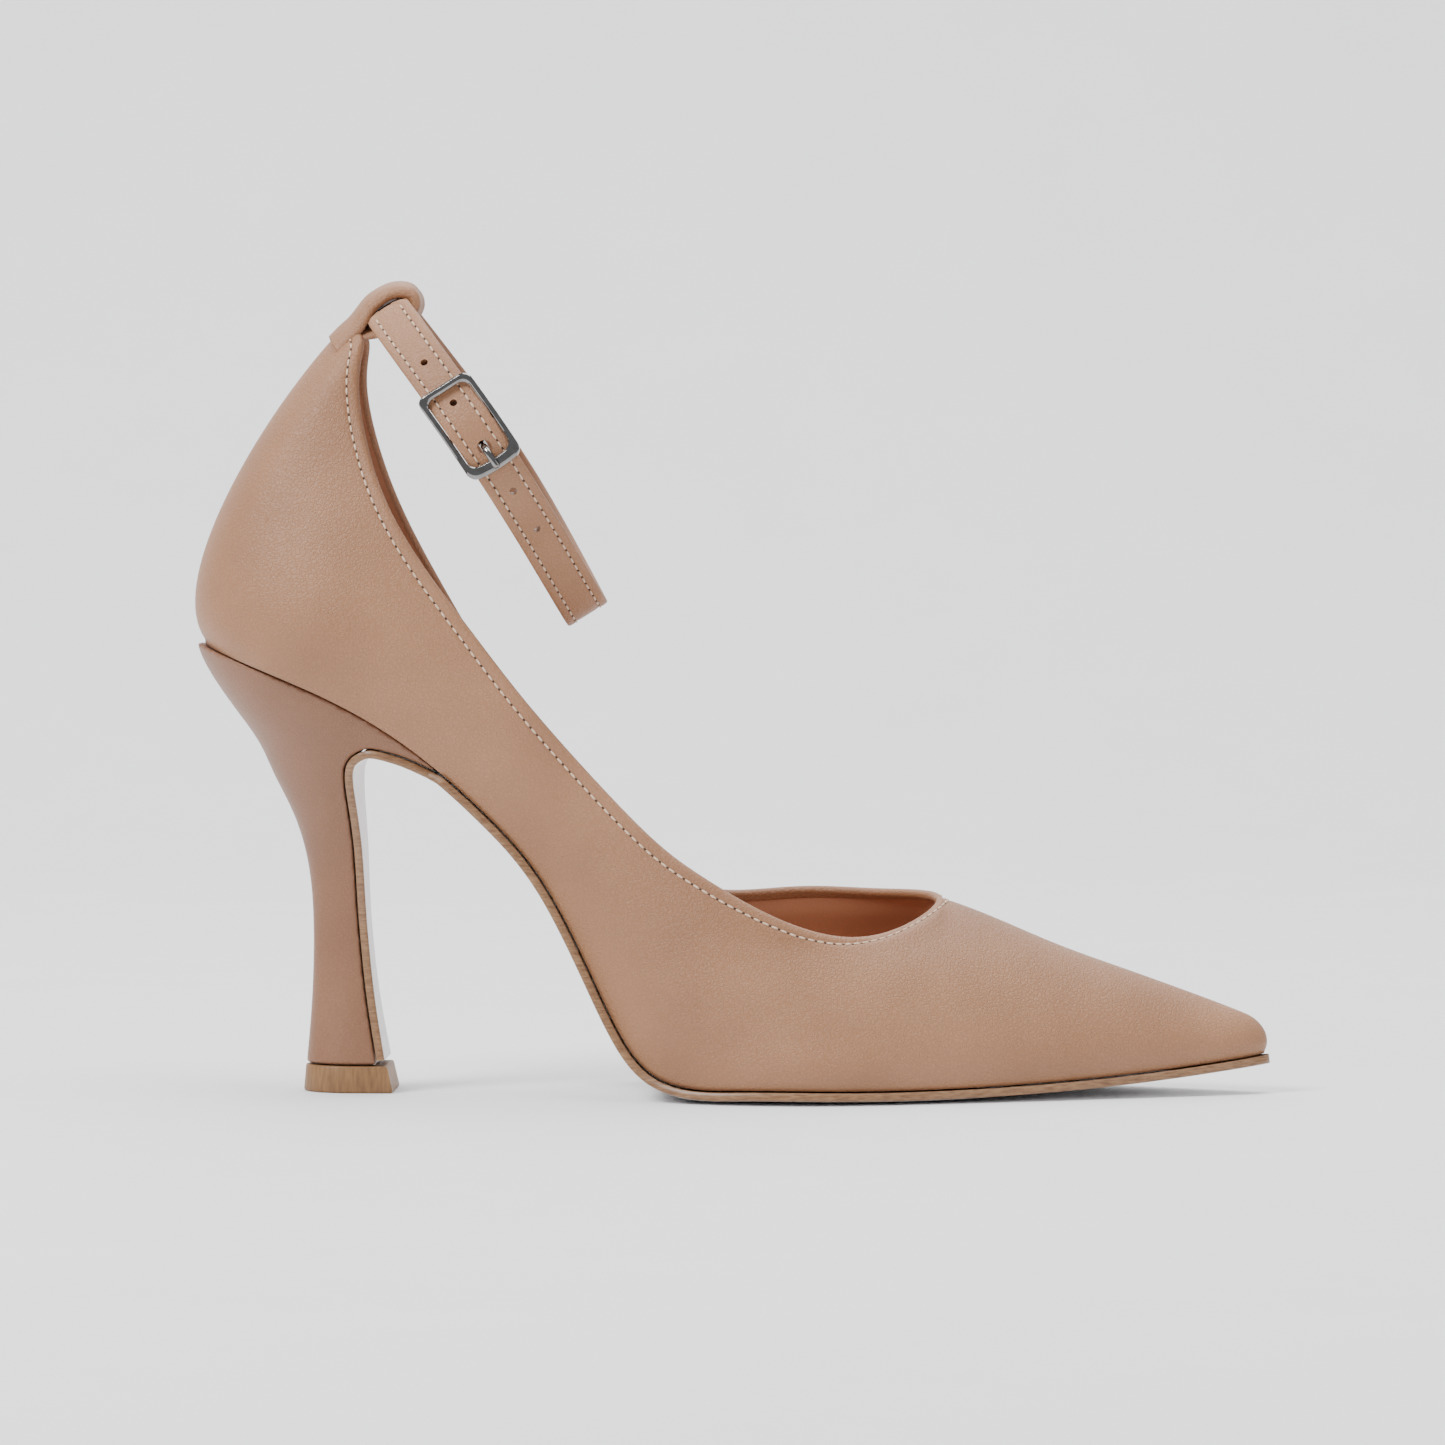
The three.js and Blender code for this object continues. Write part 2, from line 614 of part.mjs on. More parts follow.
function topLift() {
  const outlines = liftTable.map(([z, ...rest]) => {
    const outline = heelOutline([5.7, ...rest], 0);
    return outline.map(([x, y]) => [x, y, z === 0 ? 0 : liftHeight]);
  });
  const pinSeat = rod(alongTube(-liftPinDepth - gap), alongTube(4), pinRadius + gap);
  return cutBy(loft(outlines), [pinSeat]);
}

const liftPinDepth = 3.2;
const liftPinReach = 12;
const liftPin = () => rod(alongTube(-liftPinDepth), alongTube(liftPinReach), pinRadius, 12);

// ---------- outsole: under the foot, along the wing and down the heel breast ----------
const soleDepth = (x) => waistSole + (treadSole - waistSole) * fade(x / lengthRatio, -24, -6)
  - (treadSole - toeSole) * fade(x / lengthRatio, 40, 75);
const toeEase = 0.4;
const soleGap = (x) => gap + 0.15 + bendEase(x) + toeEase * fade(x / lengthRatio, 95, 106);
const soleProud = 0.5;

function outsoleRows() {
  const rows = [];
  const underFoot = insetOutline(-soleProud, 200, (breastTable[0][0] + 1.5) * lengthRatio);
  underFoot.forEach(([outer, inner]) => {
    const low = (p) => onSole(p[0], p[1], -gap - soleDepth(p[0])).toArray();
    const high = (p) => onSole(p[0], p[1], -soleGap(p[0])).toArray();
    rows.push({ low: [low(outer), low(inner)], high: [high(outer), high(inner)] });
  });
  const steps = 26;
  const near = breastLine(steps, gap);
  const far = breastLine(steps, waistSole);
  near.forEach(([x, z], i) => {
    const half = breastHalf(near[i]) + 0.2;
    const pair = (point) => [[point[0], -half, point[1]], [point[0], half, point[1]]];
    rows.push({ low: pair(far[i]), high: pair([x, z]) });
  });
  return rows;
}

// Half the width of the heel where its front face is, at a point of the breast line.
function breastHalf([x, z]) {
  const levels = heelSections.map((level) => heelZ(level[0]));
  let k = 0;
  while (k < levels.length - 2 && z > levels[k + 1]) k += 1;
  const share = THREE.MathUtils.clamp((z - levels[k]) / (levels[k + 1] - levels[k]), 0, 1);
  const mix = (column) => heelSections[k][column] * (1 - share) + heelSections[k + 1][column] * share;
  const xBack = heelX(mix(1));
  const xArc = xBack + (heelX(mix(2)) - xBack) * 0.55;
  const along = THREE.MathUtils.clamp((x - xArc) / (heelX(mix(2)) - xArc), 0, 1);
  return (mix(3) * (1 - along) + mix(4) * along) * widthRatio;
}

function outsole() {
  const rows = outsoleRows();
  const across = [0, 0.5, 1];
  const positions = [];
  ['low', 'high'].forEach((face) => rows.forEach((row) => across.forEach((share) => {
    const [outer, inner] = row[face];
    outer.forEach((value, axis) => positions.push(value + (inner[axis] - value) * share));
  })));
  const solid = manifoldOf(gridSolid(positions, rows.length, across.length));
  const [farBack, farFront, deep, halfAcross] = [-200, 300, -20, 120];
  const boxTo = (front, top) => sidePrism(
    [[farBack, deep], [front, deep], [front, top], [farBack, top]], halfAcross,
  );
  const ground = boxTo(farFront, 0);
  const liftSpace = boxTo(-40, liftHeight + gap);
  return geometryOf(solid.subtract(manifoldOf(ground)).subtract(manifoldOf(liftSpace)));
}

// ---------- inner plates ----------
const wallStack = leather + gap + stiffener + gap + lining + gap;
const flat = (h) => () => h;
const padTop = (x) => insoleTop + gap + 0.8 + (heelPadHeight - 0.8) * fade(x / lengthRatio, -68, -90);
const sockLow = (x) => insoleTop + gap + (heelPadHeight + gap) * fade(x / lengthRatio, -50, -64);

function insole() {
  const underside = (x) => insoleLow + bendEase(x);
  const plate = soleplate(insetOutline(wallStack, 200, -200), underside, flat(insoleTop));
  const counterSink = (spot, h, radius) => holeDown(spot, h, radius, 12);
  const tools = [
    screwHole(),
    counterSink(screwPlace, insoleTop - 1.3, 3.7),
    ...nailPlaces.map(nailHole),
    ...nailPlaces.map((nail) => counterSink(nail, insoleTop - 0.9, 1.8)),
    ...rivetPlaces.map(rivetHole),
    ...rivetPlaces.map((spot) => counterSink(spot, 2.0, 2.7)),
  ];
  return cutBy(plate, tools);
}

function shank() {
  const [front, back] = [-13 * lengthRatio, -97 * lengthRatio];
  const places = sideStations.map((u) => footAt(u)[0]).filter((x) => x < front && x > back);
  const pairs = places.map((x, i) => {
    const half = shankWidth / 2 * (i === 0 || i === places.length - 1 ? 0.6 : 1);
    return [[x, -half], [x, half]];
  });
  const plate = soleplate(pairs, flat(0), flat(shankThickness));
  return cutBy(plate, [...rivetPlaces.map(rivetHole), screwHole()]);
}

function bottomFiller() {
  const pairs = insetOutline(lastingMargin + gap + 0.4, 88 * lengthRatio, -11 * lengthRatio);
  return soleplate(pairs, flat(0), flat(leather));
}

const heelPad = () => soleplate(
  insetOutline(wallStack + 1.5, -66 * lengthRatio, -200), flat(insoleTop + gap), padTop,
);
const sock = () => soleplate(
  insetOutline(wallStack + 0.4, 104 * lengthRatio, -200), sockLow, (x) => sockLow(x) + sockLining,
);

// ---------- ankle strap, in the plane of its loop ----------
// Local frame: X along the fall of the loop, Y across the shoe, Z along the strap's width.
const strapHoop = new THREE.Group();
const tabTop = outerTopTable[outerTopTable.length - 1];
// A wider strap moves up and forward by half its extra width, so its lower edge stays above the tab.
const widthStep = (strapWidth - pattern.strap) / 2;
const slopeAngle = THREE.MathUtils.degToRad(strapSlope);
strapHoop.position.set(
  -70.1 * lengthRatio + widthStep * Math.sin(slopeAngle),
  0,
  165 + heelRise(tabTop[0] * lengthRatio) + widthStep * Math.cos(slopeAngle),
);
strapHoop.rotation.y = slopeAngle;
const hoopScale = [strapLoopLength / 75, strapLoopWidth / 50];
const hoopTable = [
  [0, 0], [1.5, -6.5], [8.5, -14.5], [20, -22], [33, -25], [46, -22.6], [58, -16.4], [69, -8.2],
  [75, 0], [69, 8.2], [58, 16.4], [46, 22.6], [33, 25], [20, 22], [8.5, 14.5], [1.5, 6.5],
].map(([x, y]) => [x * hoopScale[0], y * hoopScale[1]]);
const hoopAt = rowSpline(hoopTable, true);
const pliesHalf = strapPly / 2 + 0.1;       // half the step from one ply to the other
const overlapLift = 2.2;                    // the tail lies this far outside the buckle end
const barLift = 3.05;                       // and this far outside the centre bar
const hoopCount = hoopTable.length;
const barStation = 3.78;                    // the centre bar, in rows of the hoop table

function hoopPoint(u, lift) {
  const [x, y] = hoopAt(((u % hoopCount) + hoopCount) % hoopCount);
  const step = 0.02;
  const [ax, ay] = hoopAt((((u - step) % hoopCount) + hoopCount) % hoopCount);
  const [bx, by] = hoopAt((((u + step) % hoopCount) + hoopCount) % hoopCount);
  const length = Math.hypot(bx - ax, by - ay);
  return [x + (by - ay) / length * lift, y - (bx - ax) / length * lift];
}

const barCentre = hoopPoint(barStation, 0);
const barAlong = (() => {
  const [ax, ay] = hoopPoint(barStation - 0.1, 0);
  const [bx, by] = hoopPoint(barStation + 0.1, 0);
  const length = Math.hypot(bx - ax, by - ay);
  return [(bx - ax) / length, (by - ay) / length];
})();
// A point of the buckle: s along the strap to the front, n outwards, both from the centre bar.
const buckleXY = (s, n) => [
  barCentre[0] + barAlong[0] * s + barAlong[1] * n,
  barCentre[1] + barAlong[1] * s - barAlong[0] * n,
];

// How far the tail lies outside the loop, from the front of the buckle back to its tip.
function tailLift(u) {
  const overBar = (barLift - overlapLift) * Math.exp(-(((u - barStation) / 0.34) ** 2));
  return overlapLift * fade(u, 6.1, 4.9) + overBar;
}

const tailTip = 1.15;
function strapPath(ply) {
  const path = [];
  const radius = barRadius + gap + strapPly / 2;
  if (ply > 0) {
    for (let back = 0.51; back > 0.1; back -= 0.17) {
      path.push(hoopPoint(barStation - back, -radius - 0.4));
    }
    for (let i = 0; i <= 8; i += 1) {
      const angle = -Math.PI / 2 + Math.PI * i / 8;
      path.push(buckleXY(Math.cos(angle) * radius, Math.sin(angle) * radius));
    }
  }
  const start = ply > 0 ? barStation - 0.38 : barStation - 0.3;
  const step = 0.22;
  const end = -hoopCount + tailTip;
  for (let u = start; u > end; u -= step) {
    const turnedPast = u < -hoopCount + 7;
    path.push(hoopPoint(u, ply * pliesHalf + (turnedPast ? tailLift(u + hoopCount) : 0)));
  }
  path.push(hoopPoint(end, ply * pliesHalf + tailLift(tailTip)));
  return path;
}

// A flat band: a path in the loop's plane, given the ply's thickness and the strap's width.
function band(path, thickness, width) {
  const sides = [1, -1].map((sign) => path.map(([x, y], i) => {
    const [ax, ay] = path[Math.max(i - 1, 0)];
    const [bx, by] = path[Math.min(i + 1, path.length - 1)];
    const length = Math.hypot(bx - ax, by - ay);
    const shift = sign * thickness / 2 / length;
    return new THREE.Vector2(x + (by - ay) * shift, y - (bx - ax) * shift);
  }));
  const shape = new THREE.Shape([...sides[0], ...sides[1].reverse()]);
  const geometry = new THREE.ExtrudeGeometry(shape, { depth: width, bevelEnabled: false });
  geometry.translate(0, 0, -width / 2);
  return geometry;
}

// Punched holes, along the tail from the prong's hole, and the slot for the prong in the fold.
const prongHole = 4.7;
function punches() {
  const tools = [];
  for (let k = -2; k <= 2; k += 1) {
    const s = prongHole + k * punchPitch;
    const u = barStation + s / 12.9;
    const near = hoopPoint(u, tailLift(u) - 1.5);
    const far = hoopPoint(u, tailLift(u) + 2.5);
    const radius = k === 0 ? prongRadius + 1.25 : punchRadius;
    tools.push(rod(new THREE.Vector3(...near, 0), new THREE.Vector3(...far, 0), radius, 10));
  }
  return tools;
}

function prongSlot() {
  const slot = new THREE.BoxGeometry(5.2, 3.4, 2.6);
  const [x, y] = buckleXY(1.2, 0);
  slot.rotateZ(Math.atan2(barAlong[1], barAlong[0]));
  slot.translate(x, y, 0);
  return slot;
}

const strapLeather = () => cutBy(band(strapPath(1), strapPly, strapWidth), [...punches(), prongSlot()]);
const strapLining = () => cutBy(band(strapPath(-1), strapPly, strapWidth), punches());

// A rectangle with round corners, from x0 to x1 and half its width either side.
function roundedRectangle(x0, x1, half, radius) {
  const points = [];
  [[x1, half, 0], [x0, half, 90], [x0, -half, 180], [x1, -half, 270]].forEach(([x, z, startAngle]) => {
    const cx = x - Math.sign(x - (x0 + x1) / 2) * radius;
    const cz = z - Math.sign(z) * radius;
    for (let i = 0; i <= 3; i += 1) {
      const angle = THREE.MathUtils.degToRad(startAngle + 30 * i);
      points.push(new THREE.Vector2(cx + radius * Math.cos(angle), cz + radius * Math.sin(angle)));
    }
  });
  return points;
}

// ---------- tunnel at the top of the back, which holds the strap ----------
function strapTunnel() {
  const clearance = 0.35;
  const halfSlot = strapWidth / 2 + clearance;
  const slotBack = -strapPly - 0.1 - clearance;
  const slotFront = 2.0 + strapPly + 0.1 + clearance;
  const corner = 1.2;
  const ring = (grow) => roundedRectangle(
    slotBack - grow, slotFront + grow, halfSlot + grow, corner + grow,
  );
  const shape = new THREE.Shape(ring(tunnelWall));
  shape.holes.push(new THREE.Path(ring(0)));
  const geometry = new THREE.ExtrudeGeometry(shape, { depth: 2 * tunnelHalfWidth, bevelEnabled: false });
  geometry.rotateX(Math.PI / 2);
  geometry.translate(0, tunnelHalfWidth, 0);
  return geometry;
}

// ---------- buckle ----------
const endBarLow = 2.25;        // underside of the frame above its centre bar
const frameHalfInner = strapWidth / 2 + 0.28;
const frameHalfOuter = frameHalfInner + railWidth;

// Local frame of the buckle: X along the strap, Y outwards, Z across; built then turned into place.
function buckleFrame() {
  const half = frameLength / 2;
  const shape = new THREE.Shape(roundedRectangle(-half, half, frameHalfOuter, 2.2));
  shape.holes.push(new THREE.Path(roundedRectangle(-half + 1.3, half - 2.0, frameHalfInner, 1.6)));
  const ring = new THREE.ExtrudeGeometry(shape, { depth: frameThickness, bevelEnabled: false });
  ring.rotateX(Math.PI / 2);
  ring.translate(0, endBarLow + frameThickness, 0);
  const lugHeight = endBarLow + barRadius + frameThickness / 2;
  const lugs = [1, -1].map((side) => {
    const lug = new THREE.BoxGeometry(2.2, lugHeight, railWidth);
    lug.translate(0, lugHeight / 2 - barRadius, side * (frameHalfInner + railWidth / 2));
    return lug;
  });
  const reach = frameHalfOuter - 0.1;
  const bar = rod(new THREE.Vector3(0, 0, -reach), new THREE.Vector3(0, 0, reach), barRadius, 10);
  const joined = [...lugs, bar].reduce((solid, piece) => solid.add(manifoldOf(piece)), manifoldOf(ring));
  return intoLoop(geometryOf(joined));
}

function intoLoop(geometry) {
  const basis = new THREE.Matrix4().makeBasis(
    new THREE.Vector3(barAlong[0], barAlong[1], 0),
    new THREE.Vector3(barAlong[1], -barAlong[0], 0),
    new THREE.Vector3(0, 0, -1),
  );
  geometry.applyMatrix4(basis);
  geometry.translate(barCentre[0], barCentre[1], 0);
  return geometry;
}

function buckleProng() {
  const route = [
    [1, 0.65], [2.3, 0.6], [3.6, 0.75], [4.5, 1.5], [5.1, 2.6], [6.2, 3.9], [8, 4.4], [10.6, 4.37],
  ];
  const path = new THREE.CatmullRomCurve3(route.map(([s, n]) => new THREE.Vector3(s, n, 0)));
  const section = new THREE.Shape();
  section.absarc(0, 0, prongRadius, 0, 2 * Math.PI);
  const settings = { steps: 14, curveSegments: 5, bevelEnabled: false, extrudePath: path };
  const arm = new THREE.ExtrudeGeometry(section, settings);
  const across = (half, radius) => rod(
    new THREE.Vector3(0, 0, -half), new THREE.Vector3(0, 0, half), radius, 14,
  );
  const ring = across(0.8, barRadius + 0.75);
  const bore = across(2, barRadius + 0.08);
  return intoLoop(geometryOf(manifoldOf(ring).add(manifoldOf(arm)).subtract(manifoldOf(bore))));
}

// ---------- materials ----------
const finishes = {
  nappa: { color: 0xb58f77, roughness: 0.5, metalness: 0 },
  liningLeather: { color: 0xb58068, roughness: 0.6, metalness: 0 },
  board: { color: 0xa98d6a, roughness: 0.9, metalness: 0 },
  stiff: { color: 0xd8d2c4, roughness: 0.8, metalness: 0 },
  solePolish: { color: 0xe2dedf, roughness: 0.5, metalness: 0 },
  heelPlastic: { color: 0xd9d4c8, roughness: 0.6, metalness: 0 },
  liftRubber: { color: 0x805c39, roughness: 0.6, metalness: 0 },
  steel: { color: 0x9a9da1, roughness: 0.35, metalness: 1 },
  buckleMetal: { color: 0xd5d3cf, roughness: 0.12, metalness: 1 },
  foam: { color: 0xe6ddc8, roughness: 0.95, metalness: 0 },
};

function piece(name, geometry, finish) {
  const mesh = new THREE.Mesh(geometry, new THREE.MeshStandardMaterial(finishes[finish]));
  mesh.name = name;
  return mesh;
}

// ---------- assembly ----------
const shoe = new THREE.Group();
const sheet = buildSheet();
const stationOf = (face) => Math.min((face.u + face.nextU) / 2, ringLength - (face.u + face.nextU) / 2);
const stiffDepth = leather + gap;
const liningDepth = leather + gap + stiffener + gap;
const isFront = (face) => stationOf(face) < splitStation;
const isSeam = (face) => Math.abs(stationOf(face) - splitStation - splitGap) < splitGap;
const inWall = (face) => face.row >= lowWallRow;
const inVamp = (face) => inWall(face) && isFront(face) && stationOf(face) > 0.5;
const inQuarter = (face) => inWall(face) && !isFront(face) && !isSeam(face);
const inPuff = (face) => inWall(face) && stationOf(face) < 4;
const inCounter = (face) => inWall(face) && face.row < topRow - 3 && stationOf(face) > 12.5;
const inGrip = (face) => face.row > lowWallRow && face.row < topRow - 1 && stationOf(face) > 15;
const gripThickness = 0.6;

// A layer of the wall: its name, which faces it covers, its outer depth, thickness and finish.
const layers = [
  ['upper', () => true, 0, leather, 'nappa'],
  ['vamp_lining', inVamp, liningDepth, lining, 'liningLeather'],
  ['quarter_lining', inQuarter, liningDepth, lining, 'liningLeather'],
  ['toe_puff', inPuff, stiffDepth, stiffener, 'stiff'],
  ['heel_counter', inCounter, stiffDepth, stiffener, 'stiff'],
  ['heel_grip', inGrip, liningDepth + lining + gap, gripThickness, 'liningLeather'],
];
layers.forEach(([name, keep, depth, thickness, finish]) => {
  shoe.add(piece(name, sheetLayer(sheet, keep, depth, depth + thickness), finish));
});

shoe.add(piece('insole_board', insole(), 'board'));
shoe.add(piece('steel_shank', shank(), 'steel'));
rivetPlaces.forEach((spot, i) => shoe.add(piece(`shank_rivet_${i + 1}`, shankRivet(spot), 'steel')));
shoe.add(piece('bottom_filler', bottomFiller(), 'foam'));
shoe.add(piece('heel_pad', heelPad(), 'foam'));
shoe.add(piece('sock_lining', sock(), 'liningLeather'));
shoe.add(piece('outsole', outsole(), 'solePolish'));

shoe.add(piece('heel_block', heelBlock(), 'heelPlastic'));
shoe.add(piece('heel_cover', heelCover(), 'nappa'));
shoe.add(piece('heel_tube', heelTube(), 'steel'));
shoe.add(piece('heel_screw', heelScrew(), 'steel'));
nailPlaces.forEach((nail, i) => shoe.add(piece(`heel_nail_${i + 1}`, heelNail(nail), 'steel')));
shoe.add(piece('top_lift', topLift(), 'liftRubber'));
shoe.add(piece('top_lift_pin', liftPin(), 'steel'));

strapHoop.add(piece('strap_tunnel', strapTunnel(), 'nappa'));
strapHoop.add(piece('ankle_strap', strapLeather(), 'nappa'));
strapHoop.add(piece('ankle_strap_lining', strapLining(), 'liningLeather'));
strapHoop.add(piece('buckle_frame', buckleFrame(), 'buckleMetal'));
strapHoop.add(piece('buckle_prong', buckleProng(), 'buckleMetal'));
shoe.add(strapHoop);

// The origin is under the middle of the shoe's box, on the ground.
shoe.updateMatrixWorld(true);
const box = new THREE.Box3().setFromObject(shoe, true);
shoe.position.set(-(box.min.x + box.max.x) / 2, -(box.min.y + box.max.y) / 2, -box.min.z);
const assembly = new THREE.Group();
assembly.add(shoe);

export default assembly;
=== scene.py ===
# %% [markdown]
# # An ankle-strap pump, dressed over its CAD frame
#
# The CAD model gives the bodies, joints and sizes. This script adds the looks: a leather upper with a
# folded topline and real stitches, a lasted lining, a burnished sole edge, a wrapped heel, and a two-ply
# strap with its polished buckle. Lengths are in millimetres until they become meshes.

import math

import bmesh
import bpy
import numpy as np
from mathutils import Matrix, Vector
from mathutils.bvhtree import BVHTree
from mathutils.kdtree import KDTree


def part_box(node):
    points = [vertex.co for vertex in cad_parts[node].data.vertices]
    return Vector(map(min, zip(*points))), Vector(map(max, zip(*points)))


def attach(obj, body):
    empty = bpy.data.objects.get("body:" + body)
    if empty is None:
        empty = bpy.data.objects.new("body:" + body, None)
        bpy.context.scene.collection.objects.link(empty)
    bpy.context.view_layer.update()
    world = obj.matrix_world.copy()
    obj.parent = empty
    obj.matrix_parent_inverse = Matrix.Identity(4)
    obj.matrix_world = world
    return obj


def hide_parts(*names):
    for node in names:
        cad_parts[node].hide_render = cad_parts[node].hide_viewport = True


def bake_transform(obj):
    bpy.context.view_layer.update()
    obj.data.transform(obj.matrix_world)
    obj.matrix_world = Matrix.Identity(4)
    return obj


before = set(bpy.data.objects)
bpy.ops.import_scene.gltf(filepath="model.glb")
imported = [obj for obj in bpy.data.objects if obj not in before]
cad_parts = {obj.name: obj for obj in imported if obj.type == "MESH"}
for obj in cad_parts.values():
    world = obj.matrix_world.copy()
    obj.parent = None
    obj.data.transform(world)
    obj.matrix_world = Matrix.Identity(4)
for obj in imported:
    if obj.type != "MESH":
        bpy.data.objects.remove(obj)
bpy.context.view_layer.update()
MM = 0.001

# %% [markdown]
# ## Camera
# A shoe is shown from its outer side with a long lens, from a little above the heel, so that its outline
# stays true. A short lens close by would swell the toe. The camera stands 2.4 degrees round to the toe, where
# it just sees the front face of the heel.

# %% Camera
def look_at(thing, target):
    thing.rotation_euler = (Vector(target) - thing.location).to_track_quat("-Z", "Y").to_euler()


FRAME_CENTRE = (-0.002, 0, 0.078)     # metres


def make_camera(distance=1.75, azimuth=2.4, height=0.158, lens=207.0):
    camera = bpy.data.objects.new("camera", bpy.data.cameras.new("camera"))
    bpy.context.scene.collection.objects.link(camera)
    turn = math.radians(azimuth)
    camera.location = (distance * math.sin(turn), -distance * math.cos(turn), height)
    camera.data.lens = lens
    camera.data.sensor_width = 36
    look_at(camera, FRAME_CENTRE)
    bpy.context.scene.camera = camera
    return camera


make_camera()
print("camera ready")

# %% [markdown]
# ## Light
# Leather shows its grain under one large lamp from the side, and a polished buckle needs a plain pale room to
# reflect. Here a key lamp stands high at the back of the shoe, a weak one fills the toe side, and two more
# light the shoe and the wall from above. Points or suns would give hard shadows that a studio doesn't have.

# %% Lamps
def area_light(name, place, size, power):
    lamp = bpy.data.lights.new(name, "AREA")
    lamp.shape = "RECTANGLE"
    lamp.size, lamp.size_y = size
    lamp.energy = power
    thing = bpy.data.objects.new(name, lamp)
    bpy.context.scene.collection.objects.link(thing)
    thing.location = place
    look_at(thing, (0, 0, 0.07))


area_light("key", (-1.0, -0.8, 1.35), (0.7, 0.7), 38)
area_light("fill", (1.4, -0.9, 0.8), (1.0, 0.8), 4)
area_light("top", (0.2, 0.1, 1.6), (1.4, 1.0), 28)
area_light("back", (-0.3, 1.0, 1.3), (1.6, 0.7), 9)
print("lamps:", [lamp.name for lamp in bpy.data.lights])

# %% Soft room
world = bpy.data.worlds.new("soft room")
bpy.context.scene.world = world
world.use_nodes = True
world.node_tree.nodes["Background"].inputs["Color"].default_value = (0.86, 0.88, 0.92, 1)
world.node_tree.nodes["Background"].inputs["Strength"].default_value = 0.5

# %% [markdown]
# ## Helpers for materials
# Every finish is built from nodes and reads the object's own coordinates in millimetres, so that a pattern
# keeps its real size and stays on the piece when a joint moves it. Colours are sRGB codes, turned linear.

# %% Colours and nodes
def srgb(code):
    """Linear colour from an sRGB hex code."""
    values = [int(code[i:i + 2], 16) / 255 for i in (1, 3, 5)]
    return [v / 12.92 if v <= 0.04045 else ((v + 0.055) / 1.055) ** 2.4 for v in values] + [1]


def new_material(name):
    material = bpy.data.materials.new(name)
    material.use_nodes = True
    return material, material.node_tree.nodes["Principled BSDF"]


def add(material, kind, links=None, values=None, **settings):
    """Adds a node: links are sockets that feed it, values are fixed inputs."""
    node = material.node_tree.nodes.new(kind)
    for key, value in settings.items():
        setattr(node, key, value)
    for key, value in (values or {}).items():
        node.inputs[key].default_value = value
    for key, socket in (links or {}).items():
        material.node_tree.links.new(socket, node.inputs[key])
    return node

# %% Scale in millimetres
def millimetres(material, stretch=(1, 1, 1)):
    place = add(material, "ShaderNodeTexCoord").outputs["Object"]
    scale = tuple(1000 * s for s in stretch)
    return add(material, "ShaderNodeMapping", {"Vector": place}, {"Scale": scale}).outputs["Vector"]


def ramp(material, socket, *stops):
    node = add(material, "ShaderNodeValToRGB", {"Fac": socket})
    elements = node.color_ramp.elements
    while len(elements) < len(stops):
        elements.new(0.5)
    for element, (place, colour) in zip(elements, stops):
        element.position = place
        element.color = colour if len(colour) == 4 else (*colour, 1)
    return node.outputs["Color"]


def noise(material, vector, scale, detail=3.0, rough=0.55):
    values = {"Scale": scale, "Detail": detail, "Roughness": rough}
    return add(material, "ShaderNodeTexNoise", {"Vector": vector}, values).outputs["Fac"]

# %% [markdown]
# ## Grained leather
# Nappa is a soft calf or sheep skin, dyed through and lightly coated. Its face is a net of small pebbles with
# creases between them, here about a millimetre across, drawn a little coarse so that they show. A picture of
# leather could give this, but a Voronoi pattern bent by noise has no seams and no size limit. The creases are
# lower, and painted darker as shade; fine noise varies the gloss, and the tone changes slowly across the skin.
# Coated leather is rather matt, so its roughness is about 0.5, with the usual IOR of 1.5.

# %% Leather recipe
def grained_leather(name, pale, mid, dark, grain=1.35, depth=0.05, rough=(0.4, 0.56), sheen=0.03):
    """Leather: pebbled grain with creases between the pebbles, painted darker as shade, pores and a slow
    change of tone.
    """
    material, shader = new_material(name)
    place = millimetres(material)
    warp = add(material, "ShaderNodeTexNoise", {"Vector": place}, {"Scale": 0.9, "Detail": 2.0})
    shifted = add(material, "ShaderNodeVectorMath", {0: place, 1: warp.outputs["Color"]}, operation="ADD")
    cells = add(material, "ShaderNodeTexVoronoi", {"Vector": shifted.outputs[0]}, {"Scale": grain},
                feature="DISTANCE_TO_EDGE")
    crease = add(material, "ShaderNodeMapRange", {"Value": cells.outputs["Distance"]},
                 {"From Min": 0.0, "From Max": 0.22, "To Min": 0.0, "To Max": 1.0}).outputs["Result"]
    fine = noise(material, place, grain * 3.2, 4.0)
    tone = ramp(material, noise(material, place, 0.03, 2.0),
                (0.1, srgb(dark)), (0.5, srgb(mid)), (0.95, srgb(pale)))
    # Painted shade: the creases between the pebbles are mixed towards the dark tone.
    crease_shade_tone = add(material, "ShaderNodeMix", {0: crease}, data_type="RGBA")
    crease_shade_tone.inputs[6].default_value = srgb(dark)
    material.node_tree.links.new(tone, crease_shade_tone.inputs[7])
    blend = add(material, "ShaderNodeMix", data_type="RGBA")
    blend.inputs[0].default_value = 0.72
    material.node_tree.links.new(crease_shade_tone.outputs[2], blend.inputs[6])
    material.node_tree.links.new(tone, blend.inputs[7])
    material.node_tree.links.new(blend.outputs[2], shader.inputs["Base Color"])
    relief = add(material, "ShaderNodeMath", {0: crease, 1: fine}, operation="MULTIPLY_ADD")
    relief.inputs[2].default_value = 0.0
    bump = add(material, "ShaderNodeBump", {"Height": relief.outputs[0]},
               {"Strength": 0.85, "Distance": depth * MM})
    material.node_tree.links.new(bump.outputs["Normal"], shader.inputs["Normal"])
    gloss = add(material, "ShaderNodeMapRange", {"Value": fine}, {"To Min": rough[0], "To Max": rough[1]})
    material.node_tree.links.new(gloss.outputs["Result"], shader.inputs["Roughness"])
    shader.inputs["Sheen Weight"].default_value = sheen
    shader.inputs["Sheen Roughness"].default_value = 0.4
    return material

